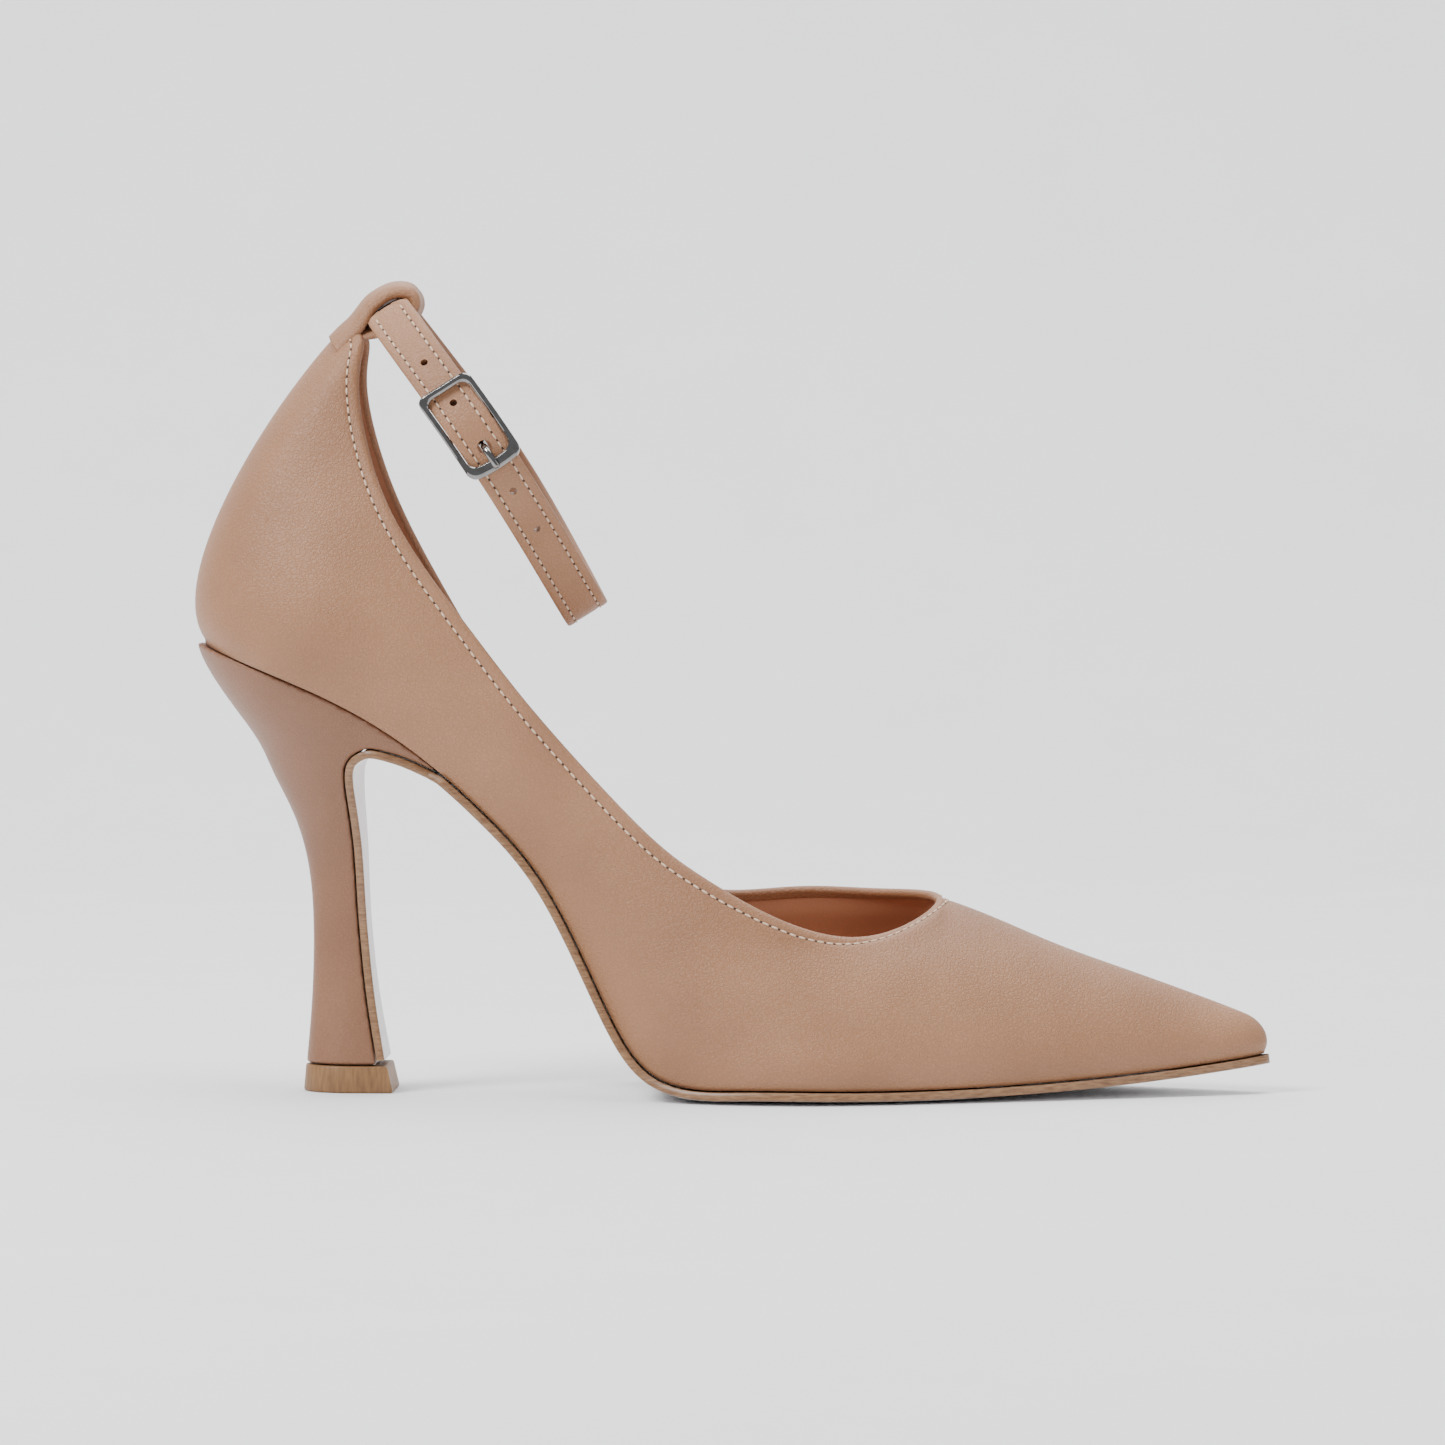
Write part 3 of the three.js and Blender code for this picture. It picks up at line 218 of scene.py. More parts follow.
# %% [markdown]
# ## Smooth finishes
# Rubber, wood-like leather edges, thread, steel and plastic differ in colour, gloss and the direction of their
# faint marks. One recipe serves them all: noise, stretched where the real surface was ground or moulded in one
# direction, drives colour, gloss and a shallow relief.

# %% Smooth recipe
def smooth_finish(name, pale, dark, scale, rough=(0.4, 0.55), depth=0.02, stretch=(1, 1, 1), metal=0.0):
    """A finish with faint marks: stretch squeezes them into streaks."""
    material, shader = new_material(name)
    place = millimetres(material, stretch)
    marks = noise(material, place, scale, 5.0, 0.62)
    tone = ramp(material, marks, (0.34, srgb(dark)), (0.66, srgb(pale)))
    material.node_tree.links.new(tone, shader.inputs["Base Color"])
    gloss = add(material, "ShaderNodeMapRange", {"Value": marks}, {"To Min": rough[0], "To Max": rough[1]})
    material.node_tree.links.new(gloss.outputs["Result"], shader.inputs["Roughness"])
    bump = add(material, "ShaderNodeBump", {"Height": marks}, {"Strength": 0.5, "Distance": depth * MM})
    material.node_tree.links.new(bump.outputs["Normal"], shader.inputs["Normal"])
    shader.inputs["Metallic"].default_value = metal
    return material

# %% [markdown]
# ## The finishes of this shoe
# Leathers first: the upper's, a darker run of it that is pulled tight round the heel, and the linings, which
# have a finer, drier face. The sole's cut edge is burnished with wax, and its face is painted cream.

# %% Leathers
# Dyed nappa, softly coated: pebbled and half matt.
nappa = grained_leather("beige nappa leather", "#ab7d5b", "#976b4b", "#80573b", grain=1.15, depth=0.14)
# The same skin stretched over the heel: flatter and darker.
heel_nappa = grained_leather("beige nappa on the heel", "#8f6549", "#7f573d", "#6b4730", grain=1.3, depth=0.08)
# Thin split lining: fine grain, almost no relief.
strap_lining = grained_leather("beige strap lining", "#a67c5f", "#966c50", "#80583e", grain=1.8, depth=0.03)
# Vegetable-tanned lining, uncoated: dry, warm and matt.
lining_leather = grained_leather("tan lining leather", "#bb8666", "#ad7757", "#935f43", grain=2.0, depth=0.02,
                                 rough=(0.55, 0.7), sheen=0.1)
# Painted sole leather: smooth, with a faint cloud in the paint.
sole_cream = smooth_finish("cream sole leather", "#ece8e6", "#dcd7d3", 0.5, rough=(0.35, 0.5))
# Waxed and burnished cut edge: its fibres lie along the sole, so the marks are long and flat.
sole_edge = smooth_finish("burnished sole edge", "#93704f", "#6b4a31", 1.6, rough=(0.3, 0.5),
                          stretch=(0.25, 0.25, 1.6))
# Hard rubber, trimmed on a wheel: upright streaks.
lift_rubber = smooth_finish("hard heel-tip rubber", "#8d673f", "#6f4e2f", 1.2, rough=(0.4, 0.6),
                            stretch=(1, 1, 0.15))
print("leathers and soles ready")

# %% Other finishes
# Bonded polyester thread, waxed: pale with a soft gloss.
thread_beige = smooth_finish("waxed beige thread", "#e0c8b0", "#b6977c", 6.0, rough=(0.45, 0.65))
# Painted shade: the dark of the pits where the needle went in, also left on the walls of the punched holes and
# the prong's slot.
painted_hole_shade = smooth_finish("needle hole shadow", "#4a3324", "#33221a", 3.0, rough=(0.8, 0.9))
# Nickel-plated zinc, polished: a dim mirror with bright edges.
silver = smooth_finish("polished silver plate", "#8a8886", "#7a7876", 0.6, rough=(0.03, 0.08), depth=0.001,
                       metal=1.0)
# Drawn steel wire and strip: bright, with fine lines along it.
steel = smooth_finish("bright steel", "#b4b6b8", "#8e9194", 1.0, rough=(0.28, 0.42), stretch=(1, 1, 0.1),
                      metal=1.0)
# Pressed cellulose board and felt: dull and fibrous.
fibre_board = smooth_finish("pressed fibre board", "#bfa47f", "#94774f", 2.0, rough=(0.8, 0.95), depth=0.06)
felt = smooth_finish("impregnated felt", "#e3ddd0", "#c4bcab", 3.0, rough=(0.85, 0.95), depth=0.06)
# Moulded ABS: even and half matt, because it is never seen.
heel_plastic = smooth_finish("moulded heel plastic", "#dcd6ca", "#cfc8ba", 0.4)
# Foamed latex: chalky.
latex_foam = smooth_finish("latex foam", "#ece3cf", "#d5c9ae", 2.5, rough=(0.9, 1.0), depth=0.08)
print(len(bpy.data.materials), "materials")

# %% [markdown]
# ## Meshes from grids of points
# Leather pieces are sheets, and a sheet is a grid: rows along the shoe and columns up its side. A grid joined
# to itself makes a tube. Working this way keeps every piece on the same few curves, where modelling by hand
# would let neighbours drift apart.

# %% Make an object
def make_object(name, vertices, faces, materials, face_slots=None, smooth=True):
    mesh = bpy.data.meshes.new(name)
    mesh.from_pydata([tuple(v) for v in np.asarray(vertices, float) * MM], [], faces)
    for material in materials:
        mesh.materials.append(material)
    if face_slots is not None:
        mesh.polygons.foreach_set("material_index", face_slots)
    mesh.polygons.foreach_set("use_smooth", [smooth] * len(mesh.polygons))
    thing = bpy.data.objects.new(name, mesh)
    bpy.context.scene.collection.objects.link(thing)
    return thing


def weld(thing, distance=0.01):
    """Merges points that coincide and turns every face outwards."""
    solid = bmesh.new()
    solid.from_mesh(thing.data)
    bmesh.ops.remove_doubles(solid, verts=solid.verts, dist=distance * MM)
    bmesh.ops.dissolve_degenerate(solid, dist=distance * MM * 0.1, edges=solid.edges)
    bmesh.ops.recalc_face_normals(solid, faces=solid.faces)
    solid.to_mesh(thing.data)
    solid.free()
    return thing

# %% Faces of grids and tubes
def grid_faces(rows, columns, loop_rows=False, loop_columns=False, start=0):
    faces = []
    for i in range(rows if loop_rows else rows - 1):
        for j in range(columns if loop_columns else columns - 1):
            a, b = (i + 1) % rows, (j + 1) % columns
            faces.append([start + i * columns + j, start + a * columns + j,
                          start + a * columns + b, start + i * columns + b])
    return faces


def tube_faces(rows, columns):
    """Faces of a tube made of closed rings, with both ends shut."""
    last = (rows - 1) * columns
    ends = [list(range(columns)), list(range(last, last + columns))[::-1]]
    return grid_faces(rows, columns, loop_columns=True) + ends


def tell(thing):
    print(thing.name, len(thing.data.polygons), "faces")

# %% Directions
def unit(v):
    return v / np.maximum(np.linalg.norm(v, axis=-1, keepdims=True), 1e-9)


def grid_normals(points, loop_rows=False):
    if loop_rows:
        padded = np.concatenate([points[-2:], points, points[:2]])
        return grid_normals(padded)[2:-2]
    return unit(np.cross(np.gradient(points, axis=1), np.gradient(points, axis=0)))

# %% [markdown]
# ## Splines through tables
# A last has no straight lines, and its maker draws it as a few sections joined by fair curves. The tables
# below are such sections. A natural cubic spline passes through each of them with no kink in its slope.

# %% Spline
class Spline:
    """A natural cubic spline through rows of numbers; a looped one runs on past its ends."""

    def __init__(self, rows, at=None, looped=False):
        rows = np.asarray(rows, float)
        if looped:
            wrap = 4
            rows = np.concatenate([rows[-wrap:], rows, rows[:wrap]])
            at = np.arange(-wrap, len(rows) - wrap)
        self.at = np.asarray(at if at is not None else np.arange(len(rows)), float)
        self.rows = rows
        n = len(rows)
        matrix = np.eye(n)
        bend = np.zeros_like(rows)
        for i in range(1, n - 1):
            before, after = self.at[i] - self.at[i - 1], self.at[i + 1] - self.at[i]
            matrix[i, i - 1:i + 2] = before, 2 * (before + after), after
            bend[i] = 6 * ((rows[i + 1] - rows[i]) / after - (rows[i] - rows[i - 1]) / before)
        self.second = np.linalg.solve(matrix, bend)

    def __call__(self, u):
        u = np.asarray(u, float)
        k = np.clip(np.searchsorted(self.at, u, side="right") - 1, 0, len(self.at) - 2)
        h = self.at[k + 1] - self.at[k]
        a, b = (self.at[k + 1] - u) / h, (u - self.at[k]) / h
        if self.rows.ndim > 1:
            h, a, b = h[..., None], a[..., None], b[..., None]
        curve = (a ** 3 - a) * self.second[k] + (b ** 3 - b) * self.second[k + 1]
        return a * self.rows[k] + b * self.rows[k + 1] + curve * h * h / 6

# %% Fade
def fade(x, start, end):
    """0 before start, 1 after end, smooth between; start may be the larger."""
    t = np.clip((np.asarray(x, float) - start) / (end - start), 0, 1)
    return t * t * (3 - 2 * t)

# %% [markdown]
# ## The shape of the shoe
# The upper is lasted: pulled over a foot-shaped block and glued under the insole, so its shape is the last's.
# The same ribs as the CAD upper, sampled finely. Each rib leaves the sole's edge and rises to the ridge of
# the vamp or to the topline. Everything is then moved by the step that brings it onto the CAD upper.

# %% Sole line
SOLE = np.array([
    [-111.2, 94.8], [-97, 89.5], [-81, 82.6], [-66, 73.3], [-49, 58.4], [-37, 43.7], [-27, 24.3],
    [-19.4, 10.2], [-10.5, 3.9], [2, 3.1], [30, 3.0], [67, 3.9], [95, 6.2], [113.2, 8.5],
])

# %% Foot outline
# Foot outline: x, outer y, inner y, from the toe tip to the back of the heel
FOOT = np.array([
    [113.2, 1, 1], [109.5, -3.4, 4.8], [101, -7.3, 8.6], [87, -13, 14.8], [70, -19.7, 22], [53, -26, 28.4],
    [36, -31.6, 33], [18, -35.4, 34.6], [0, -33.8, 31.4], [-14, -28.6, 26.2], [-27, -23.8, 22.2],
    [-40, -21.2, 20.2], [-55, -20.9, 20.3], [-70, -22.4, 22], [-85, -23.6, 23.4], [-95, -21.8, 21.6],
    [-102, -17.6, 17.4], [-107, -12.4, 12.2], [-110.2, -6.4, 6.4], [-111.2, 0, 0],
])

# %% Shape of the ribs
# How a rib leaves the sole (rise, flare) and reaches its top (reach, drop)
SHAPE = np.array([
    [3, 1.2, 3.2, 0], [4, 1.6, 4, 0], [5, 2, 5.5, 0], [7.5, 2.6, 8.5, 0], [10, 3.2, 12, 0],
    [12.5, 3.8, 15, 0], [14, 4.2, 17, 0], [13, 4.2, 9, 6], [12, 4, 5, 8], [12, 4, 3, 10], [12, 4, 2, 12],
    [12, 4, 1.5, 12], [12, 4, 1.5, 12], [13, 4.2, 1.5, 14], [14, 4.8, 2, 15], [15, 5.8, 3, 14],
    [15, 7.2, 4, 12], [15, 8.8, 5.4, 9], [15, 10, 6.4, 7.4], [15, 10.5, 6.9, 6.8],
])

# %% Topline
# The ridge of the vamp, then both sides of the topline from the throat to the back.
RIDGE = np.array([
    [108.8, 1, 16.8], [103.5, 0.9, 18.9], [94, 0.8, 22.4], [82.5, 0.6, 26.5], [70, 0.4, 31], [56, 0.2, 36.7],
    [43.5, 0, 41.2],
])
OUTER_TOP = np.array([
    [31.6, -17.5, 34.9], [12.9, -26.6, 38.1], [-4.6, -27.6, 47.5], [-15.7, -26.4, 55.7], [-28.3, -25, 68.4],
    [-41.7, -24.2, 83.6], [-52.9, -23.6, 98.1], [-62.9, -21.8, 111.6], [-71.2, -18.4, 125.6],
    [-75.9, -13.6, 139.6], [-77.2, -10.4, 151], [-76.9, -7.8, 159.2], [-79.4, 0, 162.4],
])
INNER_TOP = np.array([
    [31.5, 17, 42.3], [14, 25.6, 42.2], [-3, 27.4, 41.2], [-16.5, 26, 46.4], [-31.5, 24.8, 59.6],
    [-45.8, 24.2, 78.2], [-57, 23.6, 97], [-65, 21.6, 111.6], [-71.6, 18.2, 125.6],
    [-75.9, 13.6, 139.6], [-77.2, 10.4, 151], [-76.9, 7.8, 159.2],
])

# %% Splines of the tables
THROAT = len(RIDGE) - 1
RING = 2 * len(FOOT) - 2
TOP_RING = 1 + len(OUTER_TOP) + len(INNER_TOP)
BACK = RING // 2
FEATHER = 0.9

sole_line = Spline(SOLE[:, 1], SOLE[:, 0])
foot_line = Spline(np.concatenate([FOOT[:, :2], FOOT[-2:0:-1][:, [0, 2]]]), looped=True)
shape_line = Spline(np.concatenate([SHAPE, SHAPE[-2:0:-1]]), looped=True)
ridge_line = Spline(RIDGE)
top_line = Spline(np.concatenate([RIDGE[-1:], OUTER_TOP, INNER_TOP[::-1]]), looped=True)


print("ribs round the shoe:", RING)

# %% On the sole
def on_sole(x, y, height=0.0):
    """Points above the sole surface, by x, y and height along its normal."""
    x, y, height = np.broadcast_arrays(np.asarray(x, float), y, height)
    slope = (sole_line(x + 0.05) - sole_line(x - 0.05)) / 0.1
    across = np.stack([-slope, np.zeros_like(x), np.ones_like(x)], -1)
    return np.stack([x, y, sole_line(x)], -1) + unit(across) * height[..., None]


def outward_at(u):
    step = foot_line(u + 0.02) - foot_line(u - 0.02)
    return unit(np.stack([-step[:, 1], step[:, 0], np.zeros(len(u))], -1))

# %% Tops of the ribs
def tops(u):
    """The top end of each rib and the direction in which the rib leaves it."""
    tip = np.minimum(u, RING - u)
    on_ridge = tip <= THROAT
    top = np.where(on_ridge[:, None], ridge_line(np.minimum(tip, THROAT)), top_line((u - THROAT) % TOP_RING))
    along = unit(ridge_line(np.clip(tip - 0.1, 0, THROAT)) - ridge_line(np.clip(tip + 0.1, 0, THROAT)))
    out = outward_at(u)
    level = along * out[:, :1] + np.stack([0 * u, out[:, 1], 0 * u], -1)
    return top, np.where((tip < THROAT)[:, None], unit(level), out)

# %% Grid of the upper
def upper_grid(u, t):
    """Points of the upper's outer face: a row for each rib u, a column for each height t."""
    place = foot_line(u)
    out = outward_at(u)
    rise, flare, reach, drop = (column[:, None] for column in shape_line(u).T)
    start = on_sole(place[:, 0], place[:, 1], FEATHER)
    top, top_out = tops(u)
    up = unit(top - start)
    steep = unit(up - out * np.sum(up * out, axis=1, keepdims=True))
    first = start + steep * rise + out * flare
    second = top - up * drop + top_out * reach
    t = t[None, :, None]
    start, first, second, top = (p[:, None, :] for p in (start, first, second, top))
    return (start * (1 - t) ** 3 + first * 3 * t * (1 - t) ** 2
            + second * 3 * t ** 2 * (1 - t) + top * t ** 3)

# %% Fine ribs
RIB_STEPS = 10           # fine ribs for each rib of the tables
ribs = np.arange(RING * RIB_STEPS) / RIB_STEPS
heights = np.concatenate([np.linspace(0, 0.8, 34)[:-1], np.linspace(0.8, 1, 30)])
skin = upper_grid(ribs, heights)
low_box, high_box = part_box("upper")
shift = (np.array(low_box) + np.array(high_box)) / 2 / MM - (skin.min((0, 1)) + skin.max((0, 1))) / 2
shift[2] = 0
print("shift onto the CAD upper, mm", shift.round(2))
skin = skin + shift

# %% Smoothing
def eased(grid):
    """Evens the vamp's wall along the shoe beside the throat, and leaves its foot and top edge alone."""
    reach = np.arange(-25, 26)
    weights = np.exp(-(reach / 11.0) ** 2)
    around = (np.arange(len(grid))[:, None] + reach) % len(grid)
    mean = np.einsum("ik,ikjc->ijc", np.broadcast_to(weights / weights.sum(), around.shape), grid[around])
    from_tip = np.minimum(ribs, RING - ribs)
    along = fade(from_tip, 3.6, 5.0) * fade(from_tip, 9.4, 8.0)
    up = fade(heights, 0.0, 0.3) * fade(heights, 1.0, 0.7)
    share = (along[:, None] * up[None, :])[..., None]
    return grid * (1 - share) + mean * share


skin = eased(skin)

# %% [markdown]
# ## Upper
# The vamp and the quarters are one piece of nappa. At the topline the leather is turned over a thin tape and
# stitched, which leaves a round lip a little under 2 mm thick and a shallow groove along the seam. A bevelled
# solid would give a hard edge, so the skin is drawn back here, a half-round lip closes it, and the
# seam's groove is pressed into the grid.

# %% Lip
LIP = 0.95               # radius of the folded topline
STITCH_LINE = 2.7        # from the topline's edge to the stitches
DRAW_FROM = 0.72         # share of the height above which the skin is drawn back
tip_of = np.minimum(ribs, RING - ribs)
open_ribs = tip_of >= THROAT

edge = skin[:, -1].copy()
normals = grid_normals(skin, loop_rows=True)
top_path = top_line((ribs[open_ribs] - THROAT) % TOP_RING) + shift
loop_tangent = unit(np.roll(top_path, -1, 0) - np.roll(top_path, 1, 0))

# %% Smooth loop
def smooth_loop(vectors, passes):
    for _ in range(passes):
        vectors = (np.roll(vectors, 1, 0) + 2 * vectors + np.roll(vectors, -1, 0)) / 4
    return unit(vectors)


def topline_frame():
    """Along the open topline: the way out of the leather, and the outward normal of its skin."""
    normal = normals[open_ribs, -1] * np.sign(normals[rib_count // 2, -4, 0] * -1)
    normal = smooth_loop(normal, 25)
    normal = unit(normal - loop_tangent * np.sum(normal * loop_tangent, axis=1, keepdims=True))
    out = np.cross(normal, loop_tangent)
    back = len(out) // 2
    return out * np.sign(out[back, 2]), normal


rib_count = len(ribs)
lip_out, lip_normal = topline_frame()

# %% Rows below the bead
# The skin's upper rows are drawn back by the bead's radius, so that the bead ends on the CAD outline.
draw_back = np.zeros_like(edge)
draw_back[open_ribs] = -lip_out * LIP
throat_pull = -lip_out[0] * LIP
vamp_ribs = ~open_ribs
draw_back[vamp_ribs] = throat_pull * fade(tip_of[vamp_ribs], THROAT - 2, THROAT)[:, None]
skin += draw_back[:, None, :] * fade(heights, DRAW_FROM, 1.0)[None, :, None]
top_path = top_path - lip_out * LIP

# %% Nearest topline point
topline_tree = KDTree(len(top_path))
for i, point in enumerate(top_path):
    topline_tree.insert(point, i)
topline_tree.balance()


def groove(points):
    """How deep the thread pulls the leather in, by distance from the topline."""
    flat = points.reshape(-1, 3)
    distance = np.array([topline_tree.find(p)[2] for p in flat])
    depth = 0.16 * np.exp(-((distance - STITCH_LINE + LIP) / 0.5) ** 2)
    depth -= 0.07 * np.exp(-((distance - STITCH_LINE + LIP + 1.3) / 0.8) ** 2)
    return depth.reshape(points.shape[:-1])


normals = grid_normals(skin, loop_rows=True)
skin -= normals * groove(skin)[..., None]

# %% Under the feather edge
# Three rows under the feather edge, where the leather turns in beneath the foot.
margin = [on_sole(foot_line(ribs)[:, 0] - outward_at(ribs)[:, 0] * inset,
                  foot_line(ribs)[:, 1] - outward_at(ribs)[:, 1] * inset, 0) + shift
          for inset in (4.0, FEATHER * 1.6, FEATHER * 0.5)]
outer_rows = np.concatenate([np.stack(margin, 1), skin], axis=1)
row_count = outer_rows.shape[1]
vertices = outer_rows.reshape(-1, 3)
faces = grid_faces(rib_count, row_count, loop_rows=True)

# %% Folded lip
# The lip: a half circle from the skin over to the lining, then a short tail inside.
open_index = np.flatnonzero(open_ribs)
centre = top_path - lip_normal * LIP
lip_rows = [centre + LIP * (lip_normal * math.cos(a) + lip_out * math.sin(a))
            for a in np.linspace(0, math.pi, 11)]
lip_rows.append(lip_rows[-1] - lip_out * 1.2)
lip = np.stack(lip_rows, 1)
lip[:, 0] = skin[open_index, -1]
lip_start = len(vertices)
vertices = np.concatenate([vertices, lip.reshape(-1, 3)])
faces += grid_faces(len(lip), lip.shape[1], loop_rows=True, start=lip_start)
upper = weld(make_object("upper_leather", vertices, faces, [nappa]))
tell(upper)
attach(upper, "shoe")
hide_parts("upper")

# %% [markdown]
# ## Linings
# The quarters are lined in tan leather, and the vamp has its own lining, laid over the quarters' front
# edges. Both follow the upper from inside, 2.9 mm below its face, because the toe puff and the counter lie
# between, and come up to the lip at the topline. They are single sheets: nobody sees their other side.

# %% Seam of the lining
SEAM = 9.0
LINING_DEPTH = 2.9
lining_heights = np.linspace(0.03, 1, 44)
inner = upper_grid(ribs, lining_heights) + shift
inner += draw_back[:, None, :] * fade(lining_heights, DRAW_FROM, 1.0)[None, :, None]
inner_normals = grid_normals(inner, loop_rows=True)
near_open = fade(tip_of, THROAT - 1.5, THROAT)[:, None]
depth = LINING_DEPTH - (LINING_DEPTH - 2 * LIP) * near_open * fade(lining_heights, 0.78, 1.0)[None, :]
inner = inner - inner_normals * depth[..., None]
inner[open_index, -1] = lip[:, -2] - lip_out * 0.3

# %% Quarter lining
# The ribs run from the toe tip down the outer side, round the back and up the inner side.
split = int(SEAM * RIB_STEPS)
quarter_rows = inner[split:rib_count - split + 1]
quarter_lining = weld(make_object("quarter_lining_leather", quarter_rows.reshape(-1, 3),
                                  grid_faces(*quarter_rows.shape[:2]), [lining_leather]))
tell(quarter_lining)
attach(quarter_lining, "shoe")
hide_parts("quarter_lining")

# %% Vamp lining
VAMP_LIFT = 0.25         # the vamp's lining lies over the quarters'
PAST_SEAM = 5            # fine ribs by which it laps over them
FROM_TIP = 12            # fine ribs left out at the toe tip, where nothing shows
sides = []
far_start = rib_count - split - PAST_SEAM + 1
for start, end in ((FROM_TIP, split + PAST_SEAM), (far_start, rib_count - FROM_TIP + 1)):
    sides.append(inner[start:end] + inner_normals[start:end] * VAMP_LIFT)
outer_half, inner_half = sides
seam_vertices = np.concatenate([half.reshape(-1, 3) for half in sides])
seam_faces = grid_faces(*outer_half.shape[:2])
seam_faces += grid_faces(*inner_half.shape[:2], start=outer_half.shape[0] * outer_half.shape[1])
vamp_lining = weld(make_object("vamp_lining_leather", seam_vertices, seam_faces, [lining_leather]))
tell(vamp_lining)
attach(vamp_lining, "shoe")
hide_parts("vamp_lining")

# %% [markdown]
# ## Sock lining
# A thin leather sock covers the insole. It rises over a foam pad under the heel, dips where the ball of the
# foot presses, and curls up a little where it meets the wall. It is one sheet between the two sides of the
# foot's outline. It is glued down over a stiff board, so there is nothing for a cloth simulation to do.

# %% Foot in pairs
def foot_pairs(inset, start, end, count):
    """Outer and inner points of the foot outline, inset, at places along it."""
    u = np.linspace(start, end, count)
    sides = []
    for v in (u, RING - u):
        out = outward_at(v)
        sides.append(foot_line(v) - out[:, :2] * inset)
    return sides

# %% Sock lining
def sock():
    outer, inner_side = foot_pairs(2.4, 1.3, BACK, 150)
    across = np.linspace(0, 1, 33)
    flat = outer[:, None] * (1 - across[None, :, None]) + inner_side[:, None] * across[None, :, None]
    curl = 1.3 * (2 * np.abs(across - 0.5)) ** 10
    top = 4.35 + 2.9 * fade(flat[..., 0], -50, -68) + curl[None, :]
    top -= 0.6 * np.exp(-((flat[..., 0] - 18) / 22) ** 2 - (flat[..., 1] / 20) ** 2)
    rows = on_sole(flat[..., 0], flat[..., 1], top) + shift
    piece = weld(make_object("sock_leather", rows.reshape(-1, 3), grid_faces(*rows.shape[:2]),
                             [lining_leather]))
    tell(piece)
    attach(piece, "shoe")
    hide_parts("sock_lining")


sock()

# %% [markdown]
# ## Outsole
# The sole is cut from leather, its edge waxed brown and its face painted cream. Behind the waist it turns
# down the front of the heel as a flap that ends at the heel tip. It is one grid of crosswise rows, first
# under the foot and then down the breast, with its section rounded at the edge and bellied at the ball.
# Two materials on one mesh keep the painted line where the maker's brush would leave it.

# %% Breast and heel tables
BREAST = np.array([
    [-60.8, 68.4], [-66.2, 70.9], [-70.7, 72.4], [-74.6, 73.1], [-77.4, 72.3], [-79.4, 70.6], [-80.4, 67.2],
    [-80.0, 60.7], [-79.1, 51.4], [-78.5, 39.8], [-77.6, 28.6], [-76.3, 18], [-74.2, 5.7],
])
# Heel levels: z, back x, front x, half width at the back, half width at the front
HEEL = np.array([
    [5.7, -89.6, -70, 8.6, 8.4], [19, -88.5, -70, 6.9, 6.7], [30, -88.1, -70, 6.1, 6.1],
    [40, -88.3, -70, 6.4, 6.3], [51.4, -89.9, -70, 8.0, 7.8], [60.7, -93.2, -68, 11.4, 11],
    [67.5, -96.6, -60, 15.2, 18], [73.5, -99.4, -58, 18.2, 21.2], [79.6, -103.6, -58, 20.8, 21.4],
    [87.6, -109.2, -58, 22.9, 21.6], [94, -112.3, -58, 23.8, 21.6], [98, -113, -58, 23.9, 21.6],
])
ARC_SHARE = 0.55
heel_line = Spline(HEEL[:, 1:], HEEL[:, 0])
breast_line = Spline(BREAST)
LIFT = 5.7
WAIST_SOLE = 2.0
EDGE_HEIGHT = 1.75

# %% Width of the heel
def heel_half_width(x, z):
    back, front, back_half, front_half = heel_line(np.clip(z, HEEL[0, 0], HEEL[-1, 0])).T
    arc = back + (front - back) * ARC_SHARE
    share = np.clip((x - arc) / (front - arc), 0, 1)
    return back_half * (1 - share) + front_half * share


def sole_profile():
    """Across the sole, 0 to 1: place inwards from the edge in mm, or as a share, and share of its depth."""
    rounding = 0.45
    turn = np.linspace(0, math.pi / 2, 5)
    edge_in = np.concatenate([[0.9, 0.35, 0.1], rounding * (1 - np.cos(turn))])
    edge_down = np.concatenate([[0, 0, 0.12], EDGE_HEIGHT - rounding + rounding * np.sin(turn)])
    return edge_in, edge_down

# %% Rows under the foot
PROUD = 0.5              # the sole's edge stands out past the upper
TOP_GAP = -0.35          # from the feather line down to the sole
edge_in, edge_down = sole_profile()
middle_shares = np.linspace(0, 1, 15)[1:-1]


def rows_under_foot():
    u = np.linspace(0.0, 13.0, 230)
    u = u[foot_line(u)[:, 0] > BREAST[0, 0] + 1.5]
    out_a, out_b = outward_at(np.maximum(u, 0.02)), outward_at(RING - np.maximum(u, 0.02))
    a = foot_line(u)[:, :2] + out_a[:, :2] * PROUD
    b = foot_line(RING - u)[:, :2] + out_b[:, :2] * PROUD
    extra = (0.35 + 1.0 * fade(a[:, 0], -24, -6)) * (1 - fade(a[:, 0], 40, 75)) + 0.25
    rows = []
    for i in range(len(u)):
        width = np.linalg.norm(b[i] - a[i])
        scale = min(1.0, width / 8)
        inward = (b[i] - a[i]) / max(width, 1e-6)
        reach = edge_in[-1] * scale
        line = [(*(a[i] + inward * inset), TOP_GAP - down) for inset, down in zip(edge_in * scale, edge_down)]
        for s in middle_shares:
            belly = extra[i] * (1 - abs(2 * s - 1) ** 2.6)
            at = a[i] + inward * (reach + (width - 2 * reach) * s)
            line.append((*at, TOP_GAP - EDGE_HEIGHT - belly))
        line += [(*(b[i] - inward * inset), TOP_GAP - down)
                 for inset, down in zip(edge_in[::-1] * scale, edge_down[::-1])]
        line = np.array(line)
        rows.append(on_sole(line[:, 0], line[:, 1], line[:, 2]))
    return rows

